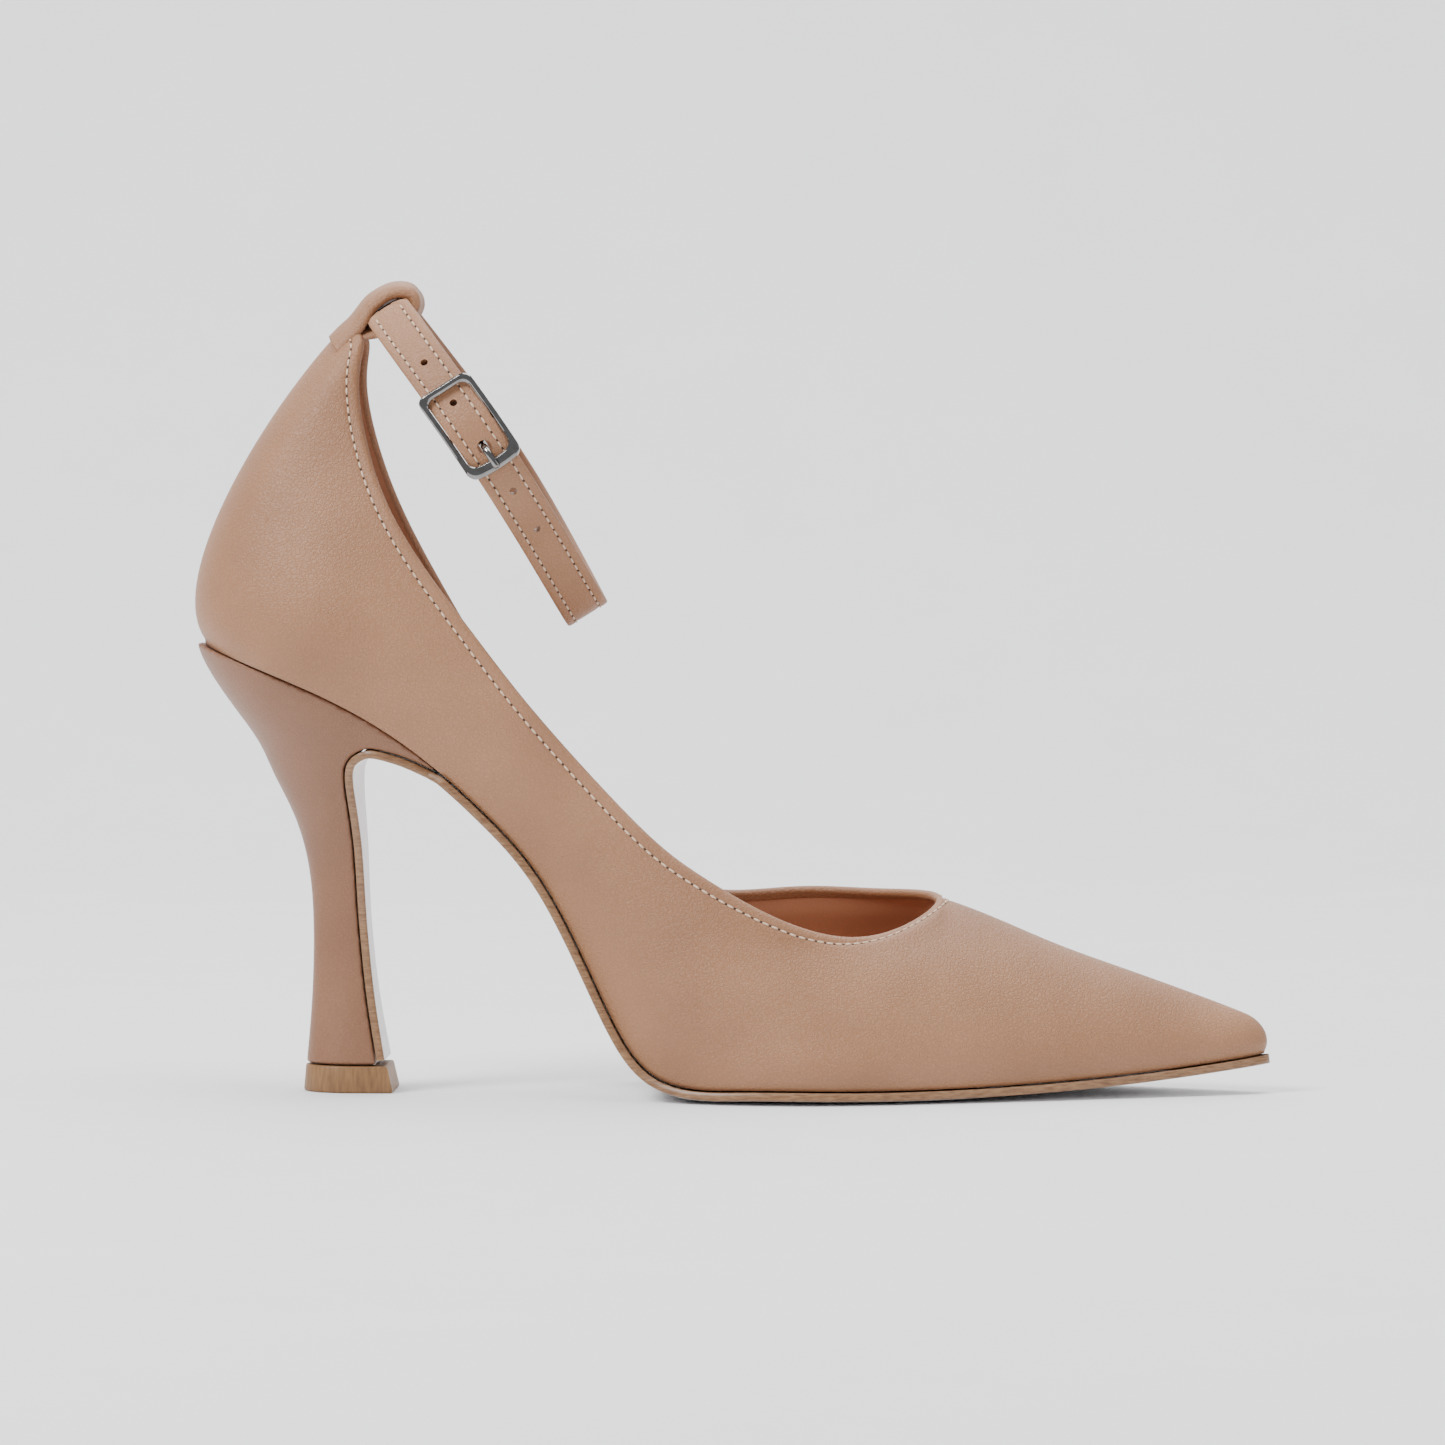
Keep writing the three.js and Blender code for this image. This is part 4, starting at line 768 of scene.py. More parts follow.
# %% Rows down the breast
def rows_down_breast():
    path = breast_line(np.linspace(0.15, len(BREAST) - 1, 150))
    path = path[path[:, 1] > LIFT + 0.35]
    direction = unit(np.gradient(path, axis=0))
    normal = np.stack([-direction[:, 1], direction[:, 0]], -1)
    off, thick = 0.3, WAIST_SOLE * 0.95 - 0.2
    rows = []
    for i, (x, z) in enumerate(path):
        half = float(heel_half_width(x, z)) + 0.25
        line = [(off + down / EDGE_HEIGHT * thick, -(half - inset))
                for inset, down in zip(edge_in, edge_down)]
        line += [(off + thick + 0.12 * (1 - abs(2 * s - 1) ** 3), -(half - edge_in[-1]) * (1 - 2 * s))
                 for s in middle_shares]
        line += [(off + down / EDGE_HEIGHT * thick, half - inset)
                 for inset, down in zip(edge_in[::-1], edge_down[::-1])]
        line = np.array(line)
        rows.append(np.stack([x + normal[i, 0] * line[:, 0], line[:, 1], z + normal[i, 1] * line[:, 0]], -1))
    return rows

# %% Outsole
def outsole():
    rows = rows_under_foot() + rows_down_breast()
    rows = np.array(rows) + shift
    rows[..., 2] = np.maximum(rows[..., 2], 0.0)
    count = rows.shape[1]
    faces = grid_faces(*rows.shape[:2])
    strip = len(edge_in) - 1
    slots = [0 if (k % (count - 1)) < strip or (k % (count - 1)) >= count - 1 - strip else 1
             for k in range(len(faces))]
    piece = weld(make_object("outsole_leather", rows.reshape(-1, 3), faces, [sole_edge, sole_cream], slots))
    tell(piece)
    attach(piece, "shoe")
    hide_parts("outsole")


outsole()

# %% [markdown]
# ## Wrapped heel
# A plastic block is covered with the upper's leather, which is stretched round it and turned in at the seat
# and the breast, so no edge of it is sharp. The shape is a loft of horizontal sections, cut by the side
# outline. A bevel modifier fails where the cut meets the loft at a slant, so a fine voxel remesh and a
# little smoothing round every edge alike.

# %% Heel ring
def heel_ring(z, inset=0.0, steps=40, row=None):
    back, front, back_half, front_half = heel_line(z) if row is None else row
    back = back + inset
    arc = (front - back) * ARC_SHARE
    angle = np.linspace(math.pi / 2, -math.pi / 2, steps)
    x = np.concatenate([[front], back + arc - arc * np.cos(angle), [front]])
    y = np.concatenate([[-front_half + inset], -(back_half - inset) * np.sin(angle), [front_half - inset]])
    return np.stack([x, y, np.full_like(x, z)], -1)

# %% Wrapped heel
def heel_cover():
    levels = np.linspace(4, 98, 90)
    loft = np.array([heel_ring(z, row=heel_line(max(z, 5.7))) for z in levels])
    count = loft.shape[1]
    faces = tube_faces(len(levels), count)
    solid = weld(make_object("heel_cover_leather", (loft + shift).reshape(-1, 3), faces, [heel_nappa]))
    seat_x = np.linspace(-118, BREAST[0, 0], 60)
    seat = np.stack([seat_x, sole_line(np.maximum(seat_x, -112)) - 0.3], -1)
    front = breast_line(np.linspace(0, len(BREAST) - 1, 90))
    front = front[front[:, 1] < sole_line(front[:, 0]) - 0.5]
    front[-1, 1] = LIFT + 0.25
    outline = np.concatenate([seat, front, [[-118, LIFT + 0.25]]])
    n = len(outline)
    sides = [np.stack([outline[:, 0], np.full(n, y), outline[:, 1]], -1) + shift for y in (-40, 40)]
    walls = [[i, (i + 1) % n, n + (i + 1) % n, n + i] for i in range(n)]
    ends = [list(range(n)), list(range(n, 2 * n))[::-1]]
    cutter = weld(make_object("cutter", np.concatenate(sides), walls + ends, []))
    cut = solid.modifiers.new("cut", "BOOLEAN")
    cut.operation = "INTERSECT"
    cut.object = cutter
    cut.solver = "EXACT"
    remesh = solid.modifiers.new("round", "REMESH")
    remesh.mode = "VOXEL"
    remesh.voxel_size = 0.42 * MM
    remesh.use_smooth_shade = True
    smooth = solid.modifiers.new("soften", "SMOOTH")
    smooth.factor = 0.5
    smooth.iterations = 6
    bake(solid)
    bpy.data.objects.remove(cutter)
    tell(solid)
    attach(solid, "shoe")
    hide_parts("heel_cover")

# %% Apply modifiers
def bake(thing):
    """Applies the modifiers."""
    bpy.context.view_layer.update()
    graph = bpy.context.evaluated_depsgraph_get()
    mesh = bpy.data.meshes.new_from_object(thing.evaluated_get(graph))
    materials = [slot.material for slot in thing.material_slots]
    thing.modifiers.clear()
    thing.data = mesh
    mesh.materials.clear()
    for material in materials:
        mesh.materials.append(material)
    mesh.polygons.foreach_set("use_smooth", [True] * len(mesh.polygons))
    return thing


heel_cover()

# %% [markdown]
# ## Heel tip
# The tip is a slab of hard rubber, nailed under the heel and trimmed flush, with its rims just broken on the
# wheel. It is a loft of a few rings between the two outlines, which gives both rims in one go.

# %% Heel tip
def top_lift():
    low = np.array([-90.2, -70.6, 9.2, 9.0])
    high = np.array([-89.7, -71.9, 8.8, 8.6])
    rounding = 0.5
    rings = []
    for z, inset in ((0.0, 1.6), (0.0, 0.5), (0.15, 0.15), (0.5, 0.0), (LIFT - 0.45, 0.0),
                     (LIFT - 0.12, 0.12), (LIFT - 0.02, 0.5), (LIFT - 0.02, 2.0)):
        row = low + (high - low) * z / LIFT
        ring = heel_ring(z, inset, 36, row=row)
        front = ring[:, 0] > row[1] - rounding
        ring[front, 0] -= inset
        rings.append(ring)
    rings = np.array(rings) + shift
    faces = tube_faces(*rings.shape[:2])
    piece = weld(make_object("heel_tip", rings.reshape(-1, 3), faces, [lift_rubber]))
    sharpen(piece, 50)
    tell(piece)
    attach(piece, "shoe")
    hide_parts("top_lift")

# %% Crisp edges
def sharpen(thing, degrees):
    """Marks edges that turn by more than this as sharp."""
    solid = bmesh.new()
    solid.from_mesh(thing.data)
    limit = math.radians(degrees)
    for line in solid.edges:
        line.smooth = not (line.is_manifold and line.calc_face_angle(0) > limit)
    solid.to_mesh(thing.data)
    solid.free()


top_lift()

# %% [markdown]
# ## Ankle strap
# The strap is two plies of leather, glued and stitched back to back. It runs from the buckle's bar through
# the tunnel at the back, round the ankle and out through the buckle again. A cord or a curve with a bevel
# can't fold over the bar and lie on itself with a free end, so each ply is a section swept along its own
# path. The path lies in the loop's plane: X down the loop's fall, Y across the shoe, Z along the width.

# %% Loop of the strap
SLOPE = math.radians(57.9)
LOOP_ORIGIN = np.array([-70.1, 0, 165.0])
FALL = np.array([math.cos(SLOPE), 0, -math.sin(SLOPE)])
WIDE = np.array([math.sin(SLOPE), 0, math.cos(SLOPE)])
ACROSS = np.array([0, 1, 0])
LOOP = np.array([        # round the ankle, from the back
    [0, 0], [1.5, -6.5], [8.5, -14.5], [20, -22], [33, -25], [46, -22.6], [58, -16.4], [69, -8.2],
    [75, 0], [69, 8.2], [58, 16.4], [46, 22.6], [33, 25], [20, 22], [8.5, 14.5], [1.5, 6.5],
])
WIDTH = 9.8
PLY = 0.8
HALF_STEP = PLY / 2 + 0.06
BAR_STATION = 3.78       # the buckle's bar, in rows of the loop
BAR_RADIUS = 0.7
BAR_LIFT = 3.05          # the tail lies this far outside the bar
OVERLAP = 2.2            # and this far outside the buckle's end
TAIL_TIP = 1.15          # the free end, in rows of the loop
PRONG_HOLE = 4.7         # from the bar
PUNCH_PITCH = 10.0
loop_line = Spline(LOOP, looped=True)
COUNT = len(LOOP)

# %% [markdown]
# ## How the strap hangs
# Leather that has been worn doesn't lie in one plane. It bows up by two millimetres between the buckle and
# its ends, and its far half leans over. A bend of the finished points does this for the strap, the buckle and
# the stitches alike, so that they stay together.

# %% Hang of the strap
BOW = [[-0.8], [0.6], [1.7], [2.1], [1.7], [1.0]]     # along the width, every 15 mm of fall
BOW_STEP = 15
LEAN = -0.04
hang = Spline(BOW)


def draped(points):
    """The worn strap isn't flat: it bows upwards along its fall and leans over towards the far side."""
    points = np.array(points, float)
    fall = np.clip(points[..., 0] / BOW_STEP, 0, len(BOW) - 1)
    bow = hang(fall.reshape(-1))[:, 0].reshape(fall.shape)
    points[..., 2] += bow + LEAN * (points[..., 1] + 25)
    points[..., 0] -= 1.2 * np.exp(-(points[..., 0] / 8) ** 2)
    return points


def to_shoe(points, drape=True):
    points = draped(points) if drape else np.asarray(points, float)
    return LOOP_ORIGIN + points[..., :1] * FALL + points[..., 1:2] * ACROSS + points[..., 2:] * WIDE + shift

# %% Points of the loop
def loop_point(u, lift=0.0):
    u = np.atleast_1d(np.asarray(u, float)) % COUNT
    along = unit(loop_line((u + 0.02) % COUNT) - loop_line((u - 0.02) % COUNT))
    lift = np.broadcast_to(lift, u.shape)[:, None]
    return loop_line(u) + np.stack([along[:, 1], -along[:, 0]], -1) * lift


bar_centre = loop_point(BAR_STATION)[0]
bar_along = unit(loop_point(BAR_STATION + 0.1)[0] - loop_point(BAR_STATION - 0.1)[0])
bar_out = np.array([bar_along[1], -bar_along[0]])


def buckle_point(s, n):
    """Along the strap to the front, and outwards, from the centre bar."""
    return bar_centre + bar_along * s + bar_out * n

# %% Paths of the plies
def tail_lift(u):
    """How far the tail lies outside the loop."""
    over_bar = (BAR_LIFT - OVERLAP) * np.exp(-((u - BAR_STATION) / 0.34) ** 2)
    return OVERLAP * fade(u, 6.1, 4.9) + over_bar


def strap_path(ply):
    """Evenly spaced points along a ply; the outer one, +1, also folds round the bar."""
    pieces = []
    radius = BAR_RADIUS + 0.3 + PLY / 2
    if ply > 0:
        pieces.append(loop_point(BAR_STATION - np.arange(0.51, 0.1, -0.05), -radius - 0.4))
        turn = np.linspace(-math.pi / 2, math.pi / 2, 16)
        pieces.append(np.array([buckle_point(math.cos(a) * radius, math.sin(a) * radius) for a in turn]))
    start = BAR_STATION - (0.38 if ply > 0 else 0.3)
    u = np.arange(start, -COUNT + TAIL_TIP, -0.05)
    tail = u < -COUNT + 7
    pieces.append(loop_point(u, ply * HALF_STEP + np.where(tail, tail_lift(u + COUNT), 0)))
    path = np.concatenate(pieces)
    for _ in range(3):
        path[1:-1] = (path[:-2] + 2 * path[1:-1] + path[2:]) / 4
    steps = np.concatenate([[0], np.cumsum(np.linalg.norm(np.diff(path, axis=0), axis=1))])
    even = np.linspace(0, steps[-1], int(steps[-1] / 0.55))
    return np.stack([np.interp(even, steps, path[:, k]) for k in (0, 1)], -1)

# %% Section of the strap
def strap_section(thickness, half, rounding):
    """Across the ply, round its edges: (out of the strap, along its width)."""
    flat = np.linspace(-1, 1, 21)
    outer = [(thickness / 2 + crown(w * half), w * (half - rounding)) for w in flat]
    inner = [(-thickness / 2, w * (half - rounding)) for w in flat[::-1]]
    turn = np.linspace(math.pi / 2, -math.pi / 2, 7)[1:-1]
    right = [(thickness / 2 * math.sin(a), half - rounding + rounding * math.cos(a)) for a in turn]
    left = [(thickness / 2 * math.sin(-a), -(half - rounding + rounding * math.cos(a))) for a in turn]
    return np.array(outer + right + inner + left)


def crown(w):
    """The ply's face stands up along its edges and is drawn down along the two stitch rows."""
    return 0.10 * math.exp(-((abs(w) - 4.0) / 0.7) ** 2) - 0.13 * math.exp(-((abs(w) - 2.95) / 0.45) ** 2)

# %% One ply
def strap_ply(name, ply, material, node):
    path = strap_path(ply)
    along = unit(np.gradient(path, axis=0))
    out = np.stack([along[:, 1], -along[:, 0]], -1) * -1
    section = strap_section(PLY, WIDTH / 2, 0.38)
    left = np.linalg.norm(path - path[-1], axis=1)
    corner = 2.6
    squeeze = np.where(left < corner, 1 - corner / (WIDTH / 2) * (1 - np.sqrt(np.clip(
        1 - (1 - left / corner) ** 2, 0, 1))), 1.0)
    rows = []
    for point, normal, share in zip(path, out, squeeze):
        offsets = point + normal * section[:, :1]
        rows.append(np.concatenate([offsets, section[:, 1:] * share], axis=1))
    rows = np.array(rows)
    faces = tube_faces(*rows.shape[:2])
    piece = weld(make_object(name, to_shoe(rows).reshape(-1, 3), faces, [material]), 0.002)
    punch(piece, ply)
    sharpen(piece, 55)
    tell(piece)
    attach(piece, "ankle_strap")
    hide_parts(node)
    return piece

# %% [markdown]
# ## Punched holes
# Five holes are punched through both plies, and the fold at the bar has a slot for the prong. Booleans with
# round cutters leave the wall of each hole, and of the slot, in the needle holes' dark finish: painted shade
# for the shadow inside them, on top of the dark of the cut leather. The hole that the prong sits in is worn
# wider, most of all in the lining, so the prong can turn.

# %% Punch
PUNCH_RADIUS, WORN_RADIUS, WORN_LINING_RADIUS = 0.78, 1.5, 1.95


def punch(piece, ply):
    """Cuts the punched holes, and the slot for the prong where the strap folds round the bar."""
    tools = []
    for k in range(-2, 3):
        s = PRONG_HOLE + k * PUNCH_PITCH
        u = BAR_STATION + s / 12.9
        near, far = loop_point(u, tail_lift(u) - 1.5)[0], loop_point(u, tail_lift(u) + 2.5)[0]
        worn = WORN_RADIUS if ply > 0 else WORN_LINING_RADIUS
        tools.append(cutting_rod(near, far, PUNCH_RADIUS if k else worn))
    if ply > 0:
        tools.append(slot_box())
    for tool in tools:
        cut = piece.modifiers.new("punch", "BOOLEAN")
        cut.operation = "DIFFERENCE"
        cut.object = tool
        cut.solver = "EXACT"
        # The cut walls take the cutters' finish: painted shade inside the holes.
        cut.material_mode = "TRANSFER"
    bake(piece)
    for tool in tools:
        bpy.data.objects.remove(tool)

# %% Cutting rods
def cutting_rod(near, far, radius, sides=24):
    axis = unit(np.array([*(far - near), 0.0]))
    side = np.cross(axis, [0, 0, 1])
    angle = np.arange(sides) * 2 * math.pi / sides
    circle = np.cos(angle)[:, None] * side * radius + np.sin(angle)[:, None] * np.array([0, 0, 1]) * radius
    ends = [circle + np.array([*near, 0]), circle + np.array([*far, 0])]
    faces = [[i, (i + 1) % sides, sides + (i + 1) % sides, sides + i] for i in range(sides)]
    faces += [list(range(sides)), list(range(sides, 2 * sides))[::-1]]
    return weld(make_object("punch", to_shoe(np.concatenate(ends)), faces, [painted_hole_shade]))


def slot_box():
    corners = []
    for s in (-1.4, 3.8):
        for n in (-1.7, 1.7):
            for z in (-1.3, 1.3):
                corners.append([*buckle_point(s, n), z])
    faces = [[0, 1, 3, 2], [4, 6, 7, 5], [0, 4, 5, 1], [2, 3, 7, 6], [0, 2, 6, 4], [1, 5, 7, 3]]
    return weld(make_object("slot", to_shoe(corners), faces, [painted_hole_shade]))

# %% Both plies
strap_outer = strap_ply("strap_leather", 1, nappa, "ankle_strap")
strap_inner = strap_ply("strap_lining_leather", -1, strap_lining, "ankle_strap_lining")

# %% [markdown]
# ## Buckle frame
# The buckle is cast in zinc, polished and plated. Its frame is a rounded rectangle with narrow bevels, thicker
# at the end where the prong rests, and two ears under it hold the bar. Its section is swept round the outline
# point by point, because a bevel modifier would give the same bevel everywhere, and the real one narrows on
# the rails. Built in the buckle's own directions: along the strap, outwards, and along the strap's width.

# %% Sizes of the buckle
FRAME_HALF = 10.4
FRAME_LOW = 2.25
FRAME_THICK = 1.2
INNER_HALF = WIDTH / 2 + 0.12
OUTER_HALF = INNER_HALF + 1.25


def from_buckle(points):
    points = np.asarray(points, float)
    flat = bar_centre + points[..., :1] * bar_along + points[..., 1:2] * bar_out
    return to_shoe(np.concatenate([flat, points[..., 2:]], -1))

# %% Rounded loop
def rounded_loop(back, front, half, radius, belly=0.0):
    """A rounded rectangle; belly pushes its front edge out into an arc."""
    points = []
    for x, z, start in ((front, half, 0), (back, half, 90), (back, -half, 180), (front, -half, 270)):
        cx = x - math.copysign(radius, x - (back + front) / 2)
        cz = z - math.copysign(radius, z)
        for angle in np.radians(start + np.linspace(0, 90, 9)):
            points.append([cx + radius * math.cos(angle), cz + radius * math.sin(angle)])
    points = np.array(points)
    dense = []
    for a, b in zip(points, np.roll(points, -1, 0)):
        count = 12 if np.linalg.norm(b - a) > 2 else 1
        dense += [a + (b - a) * k / count for k in range(count)]
    dense = np.array(dense)
    at_front = dense[:, 0] > front - radius * 1.2
    dense[at_front, 0] += belly * (1 - (dense[at_front, 1] / half) ** 2)
    return dense

# %% Buckle frame
def buckle_frame():
    outer = rounded_loop(-FRAME_HALF, FRAME_HALF - 0.2, OUTER_HALF, 1.9, belly=0.6)
    inner_edge = rounded_loop(-FRAME_HALF + 1.45, FRAME_HALF - 2.5, INNER_HALF, 1.9, belly=0.5)
    width = np.linalg.norm(inner_edge - outer, axis=1)
    chamfer = 0.24
    rows = []
    for o, i, w in zip(outer, inner_edge, width):
        c = min(chamfer / w, 0.4)
        section = [(0.04, 0), (0, 0.12), (0, FRAME_THICK - chamfer), (0.03, FRAME_THICK - chamfer * 0.8),
                   (c, FRAME_THICK - 0.02), (c * 1.15, FRAME_THICK), (0.5, FRAME_THICK + 0.02),
                   (1 - c * 1.15, FRAME_THICK), (1 - c, FRAME_THICK - 0.02),
                   (0.97, FRAME_THICK - chamfer * 0.8), (1, FRAME_THICK - chamfer), (1, 0.12), (0.96, 0)]
        rows.append([(*(o + (i - o) * s)[:1], FRAME_LOW + n, (o + (i - o) * s)[1]) for s, n in section])
    rows = np.array(rows)
    ring = (from_buckle(rows).reshape(-1, 3), grid_faces(*rows.shape[:2], loop_rows=True, loop_columns=True))
    piece = joined("buckle_frame_silver", [ring, lug(-1), lug(1), turned_bar()], [silver])
    sharpen(piece, 38)
    tell(piece)
    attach(piece, "ankle_strap")
    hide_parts("buckle_frame")

# %% Ears and bar
def lug(side):
    """A small ear that drops from the rail and holds the bar's end."""
    turn = np.linspace(math.pi, 2 * math.pi, 13)
    outline = [(-1.35, FRAME_LOW + 0.3), *((1.1 * math.cos(a), 1.0 * math.sin(a)) for a in turn),
               (1.35, FRAME_LOW + 0.3)]
    z0 = side * (INNER_HALF + 0.03)
    z1 = side * (OUTER_HALF - 0.03)
    root = FRAME_LOW + 0.3
    rings = []
    for z, grow in ((z0, 0.88), (z0 + side * 0.1, 1.0), (z1 - side * 0.1, 1.0), (z1, 0.88)):
        rings.append([(s * grow, root + (n - root) * (0.5 + grow / 2), z) for s, n in outline])
    rings = np.array(rings)
    return from_buckle(rings).reshape(-1, 3), tube_faces(*rings.shape[:2])


def turned_bar():
    angles = np.linspace(0, 2 * math.pi, 24, endpoint=False)
    profile = [(0.02, -OUTER_HALF), (0.5, -OUTER_HALF + 0.02), (BAR_RADIUS, -OUTER_HALF + 0.2),
               (BAR_RADIUS, OUTER_HALF - 0.2), (0.5, OUTER_HALF - 0.02), (0.02, OUTER_HALF)]
    rings = np.array([[(r * math.cos(a), r * math.sin(a), z) for a in angles] for r, z in profile])
    return from_buckle(rings).reshape(-1, 3), grid_faces(*rings.shape[:2], loop_columns=True)

# %% Join parts
def joined(name, parts, materials):
    vertices, faces, start = [], [], 0
    for points, polygons in parts:
        vertices.append(points)
        faces += [[k + start for k in polygon] for polygon in polygons]
        start += len(points)
    return weld(make_object(name, np.concatenate(vertices), faces, materials), 0.0005)

# %% [markdown]
# ## Prong
# A bent pin with a collar that turns on the bar. It comes up through the worn hole and rests on the end of
# the frame. It is a round section swept along its bend, a little flattened, with its tip drawn in, and it
# rides its own body, so that it turns with the hinge.

# %% Prong
def prong():
    route = Spline([[1.05, 0.62], [2.3, 0.6], [3.6, 0.75], [4.5, 1.5], [5.1, 2.6], [6.2, 3.85], [8, 4.3],
                    [9.6, 4.28], [10.7, 4.15]])
    path = route(np.linspace(0, 8, 60))
    along = unit(np.gradient(path, axis=0))
    up = np.stack([-along[:, 1], along[:, 0]], -1)
    left = np.linalg.norm(path - path[-1], axis=1)
    size = 0.74 * np.sqrt(np.clip(1 - (1 - np.clip(left / 0.6, 0, 1)) ** 2, 0.01, 1))
    angles = np.linspace(0, 2 * math.pi, 20, endpoint=False)
    rings = [[(*(p + u * r * 0.85 * math.cos(a)), r * 1.05 * math.sin(a)) for a in angles]
             for p, u, r in zip(path, up, size)]
    rings = np.array(rings)
    parts = [(from_buckle(rings).reshape(-1, 3), tube_faces(*rings.shape[:2]))]
    outline = [(0.78, -0.72), (0.84, -0.8), (1.3, -0.8), (1.45, -0.62), (1.45, 0.62), (1.3, 0.8),
               (0.84, 0.8), (0.78, 0.72)]
    turn = np.linspace(0, 2 * math.pi, 32, endpoint=False)
    collar = np.array([[(r * math.cos(a), r * math.sin(a), z) for r, z in outline] for a in turn])
    collar_faces = grid_faces(*collar.shape[:2], loop_rows=True, loop_columns=True)
    parts.append((from_buckle(collar).reshape(-1, 3), collar_faces))
    piece = joined("buckle_prong_silver", parts, [silver])
    sharpen(piece, 40)
    tell(piece)
    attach(piece, "prong")
    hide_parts("buckle_prong")


buckle_frame()
prong()

# %% [markdown]
# ## Tunnel
# A strip of folded leather leaves the top of the back, turns over the strap and goes down inside it again,
# so that the strap hangs in it. The piece is built in place and stays there when the strap swings. Its section
# is swept along its route like the strap's, and its middle stands back from its edges as the heel of the foot
# does.

# %% Tunnel
TUNNEL_ROWS = 120
STEM_ROWS = 30           # these narrow from the stem's width to the arch's


def tunnel():
    route = Spline([[-1.9, -15], [-2.5, -11.5], [-2.9, -8.5], [-4.1, -5.2], [-4.65, -2.4], [-4.35, 1.1],
                    [-3.25, 3.4], [-2.0, 4.5], [-0.4, 4.4], [1.0, 3.4], [1.9, 1.5], [1.9, -2], [1.0, -5.5],
                    [-0.7, -9.0]])
    places = np.linspace(0, 13, TUNNEL_ROWS)
    path = route(places)
    along = unit(np.gradient(path, axis=0))
    out = np.stack([-along[:, 1], along[:, 0]], -1)
    thickness = np.interp(places, [0, 2, 8.5, 11, 13], [1.0, 1.4, 1.35, 0.8, 0.7])
    curve = np.interp(path[:, 1], [-15, -8.5, 0], [2.5, 2.2, 1.3])
    rounding = 1.2
    widths = np.interp(np.arange(TUNNEL_ROWS), [0, STEM_ROWS - 1], [7.4, 6.6])
    turn = np.linspace(math.pi / 2, -math.pi / 2, 9)
    across = np.linspace(-1, 1, 17)
    rows = []
    for p, o, half, thick, bulge in zip(path, out, widths, thickness, curve):
        flat = half - rounding
        section = [(thick * (1 + 0.04 * math.cos(math.pi * s)), s * flat) for s in across]
        section += [(thick * math.sin(a), flat + rounding * math.cos(a)) for a in turn[1:-1]]
        section += [(-thick, s * flat) for s in across[::-1]]
        section += [(thick * math.sin(-a), -flat - rounding * math.cos(a)) for a in turn[1:-1]]
        rows.append([(p[0] + o[0] * n + bulge * (y / 6.5) ** 2, y, p[1] + o[1] * n) for n, y in section])
    rows = np.array(rows)
    faces = tube_faces(*rows.shape[:2])
    points = to_shoe(rows, drape=False).reshape(-1, 3)
    piece = weld(make_object("strap_tunnel_leather", points, faces, [nappa]))
    low, high = to_shoe([[-2.5, 0, -11.5], [-4.4, 0, -5.5]], drape=False) * MM
    tell(piece)
    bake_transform(piece)
    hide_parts("strap_tunnel")


tunnel()

# %% [markdown]
# ## Stitches
# A lockstitch shows as a short length of thread, pulled down at both ends into needle holes 2 mm apart. There
# are several hundred, so one geometry-nodes tree lays them: a guide mesh holds a point for each stitch with
# its direction and the leather's normal there, and the tree puts a small flattened bead on every point. The
# same tree with a smaller bead in a dark finish paints the shade of the needle holes.

# %% Node helpers
def align(tree, rotation, vector, axis, pivot="AUTO"):
    node = tree.nodes.new("FunctionNodeAlignRotationToVector")
    node.axis = axis
    node.pivot_axis = pivot
    if rotation:
        tree.links.new(rotation, node.inputs["Rotation"])
    tree.links.new(vector, node.inputs["Vector"])
    return node.outputs[0]


def attribute(tree, name):
    node = tree.nodes.new("GeometryNodeInputNamedAttribute")
    node.data_type = "FLOAT_VECTOR"
    node.inputs["Name"].default_value = name
    return node.outputs["Attribute"]

# %% Tree of beads
def bead_tree():
    tree = bpy.data.node_groups.new("beads on points", "GeometryNodeTree")
    face = tree.interface
    face.new_socket("Geometry", in_out="INPUT", socket_type="NodeSocketGeometry")
    face.new_socket("Size", in_out="INPUT", socket_type="NodeSocketVector")
    face.new_socket("Material", in_out="INPUT", socket_type="NodeSocketMaterial")
    face.new_socket("Geometry", in_out="OUTPUT", socket_type="NodeSocketGeometry")
    start, end = tree.nodes.new("NodeGroupInput"), tree.nodes.new("NodeGroupOutput")
    ball = tree.nodes.new("GeometryNodeMeshUVSphere")
    ball.inputs["Segments"].default_value = 10
    ball.inputs["Rings"].default_value = 7
    ball.inputs["Radius"].default_value = 0.5
    turned = tree.nodes.new("GeometryNodeTransform")
    turned.inputs["Rotation"].default_value = (0, math.pi / 2, 0)
    tree.links.new(ball.outputs["Mesh"], turned.inputs["Geometry"])
    place = tree.nodes.new("GeometryNodeInstanceOnPoints")
    rotation = align(tree, None, attribute(tree, "along"), "X")
    rotation = align(tree, rotation, attribute(tree, "out"), "Z", "X")
    tree.links.new(start.outputs["Geometry"], place.inputs["Points"])
    tree.links.new(turned.outputs["Geometry"], place.inputs["Instance"])
    tree.links.new(rotation, place.inputs["Rotation"])
    tree.links.new(start.outputs["Size"], place.inputs["Scale"])
    real = tree.nodes.new("GeometryNodeRealizeInstances")
    shade = tree.nodes.new("GeometryNodeSetMaterial")
    tree.links.new(place.outputs["Instances"], real.inputs["Geometry"])
    tree.links.new(real.outputs["Geometry"], shade.inputs["Geometry"])
    tree.links.new(start.outputs["Material"], shade.inputs["Material"])
    tree.links.new(shade.outputs["Geometry"], end.inputs["Geometry"])
    return tree


beads = bead_tree()

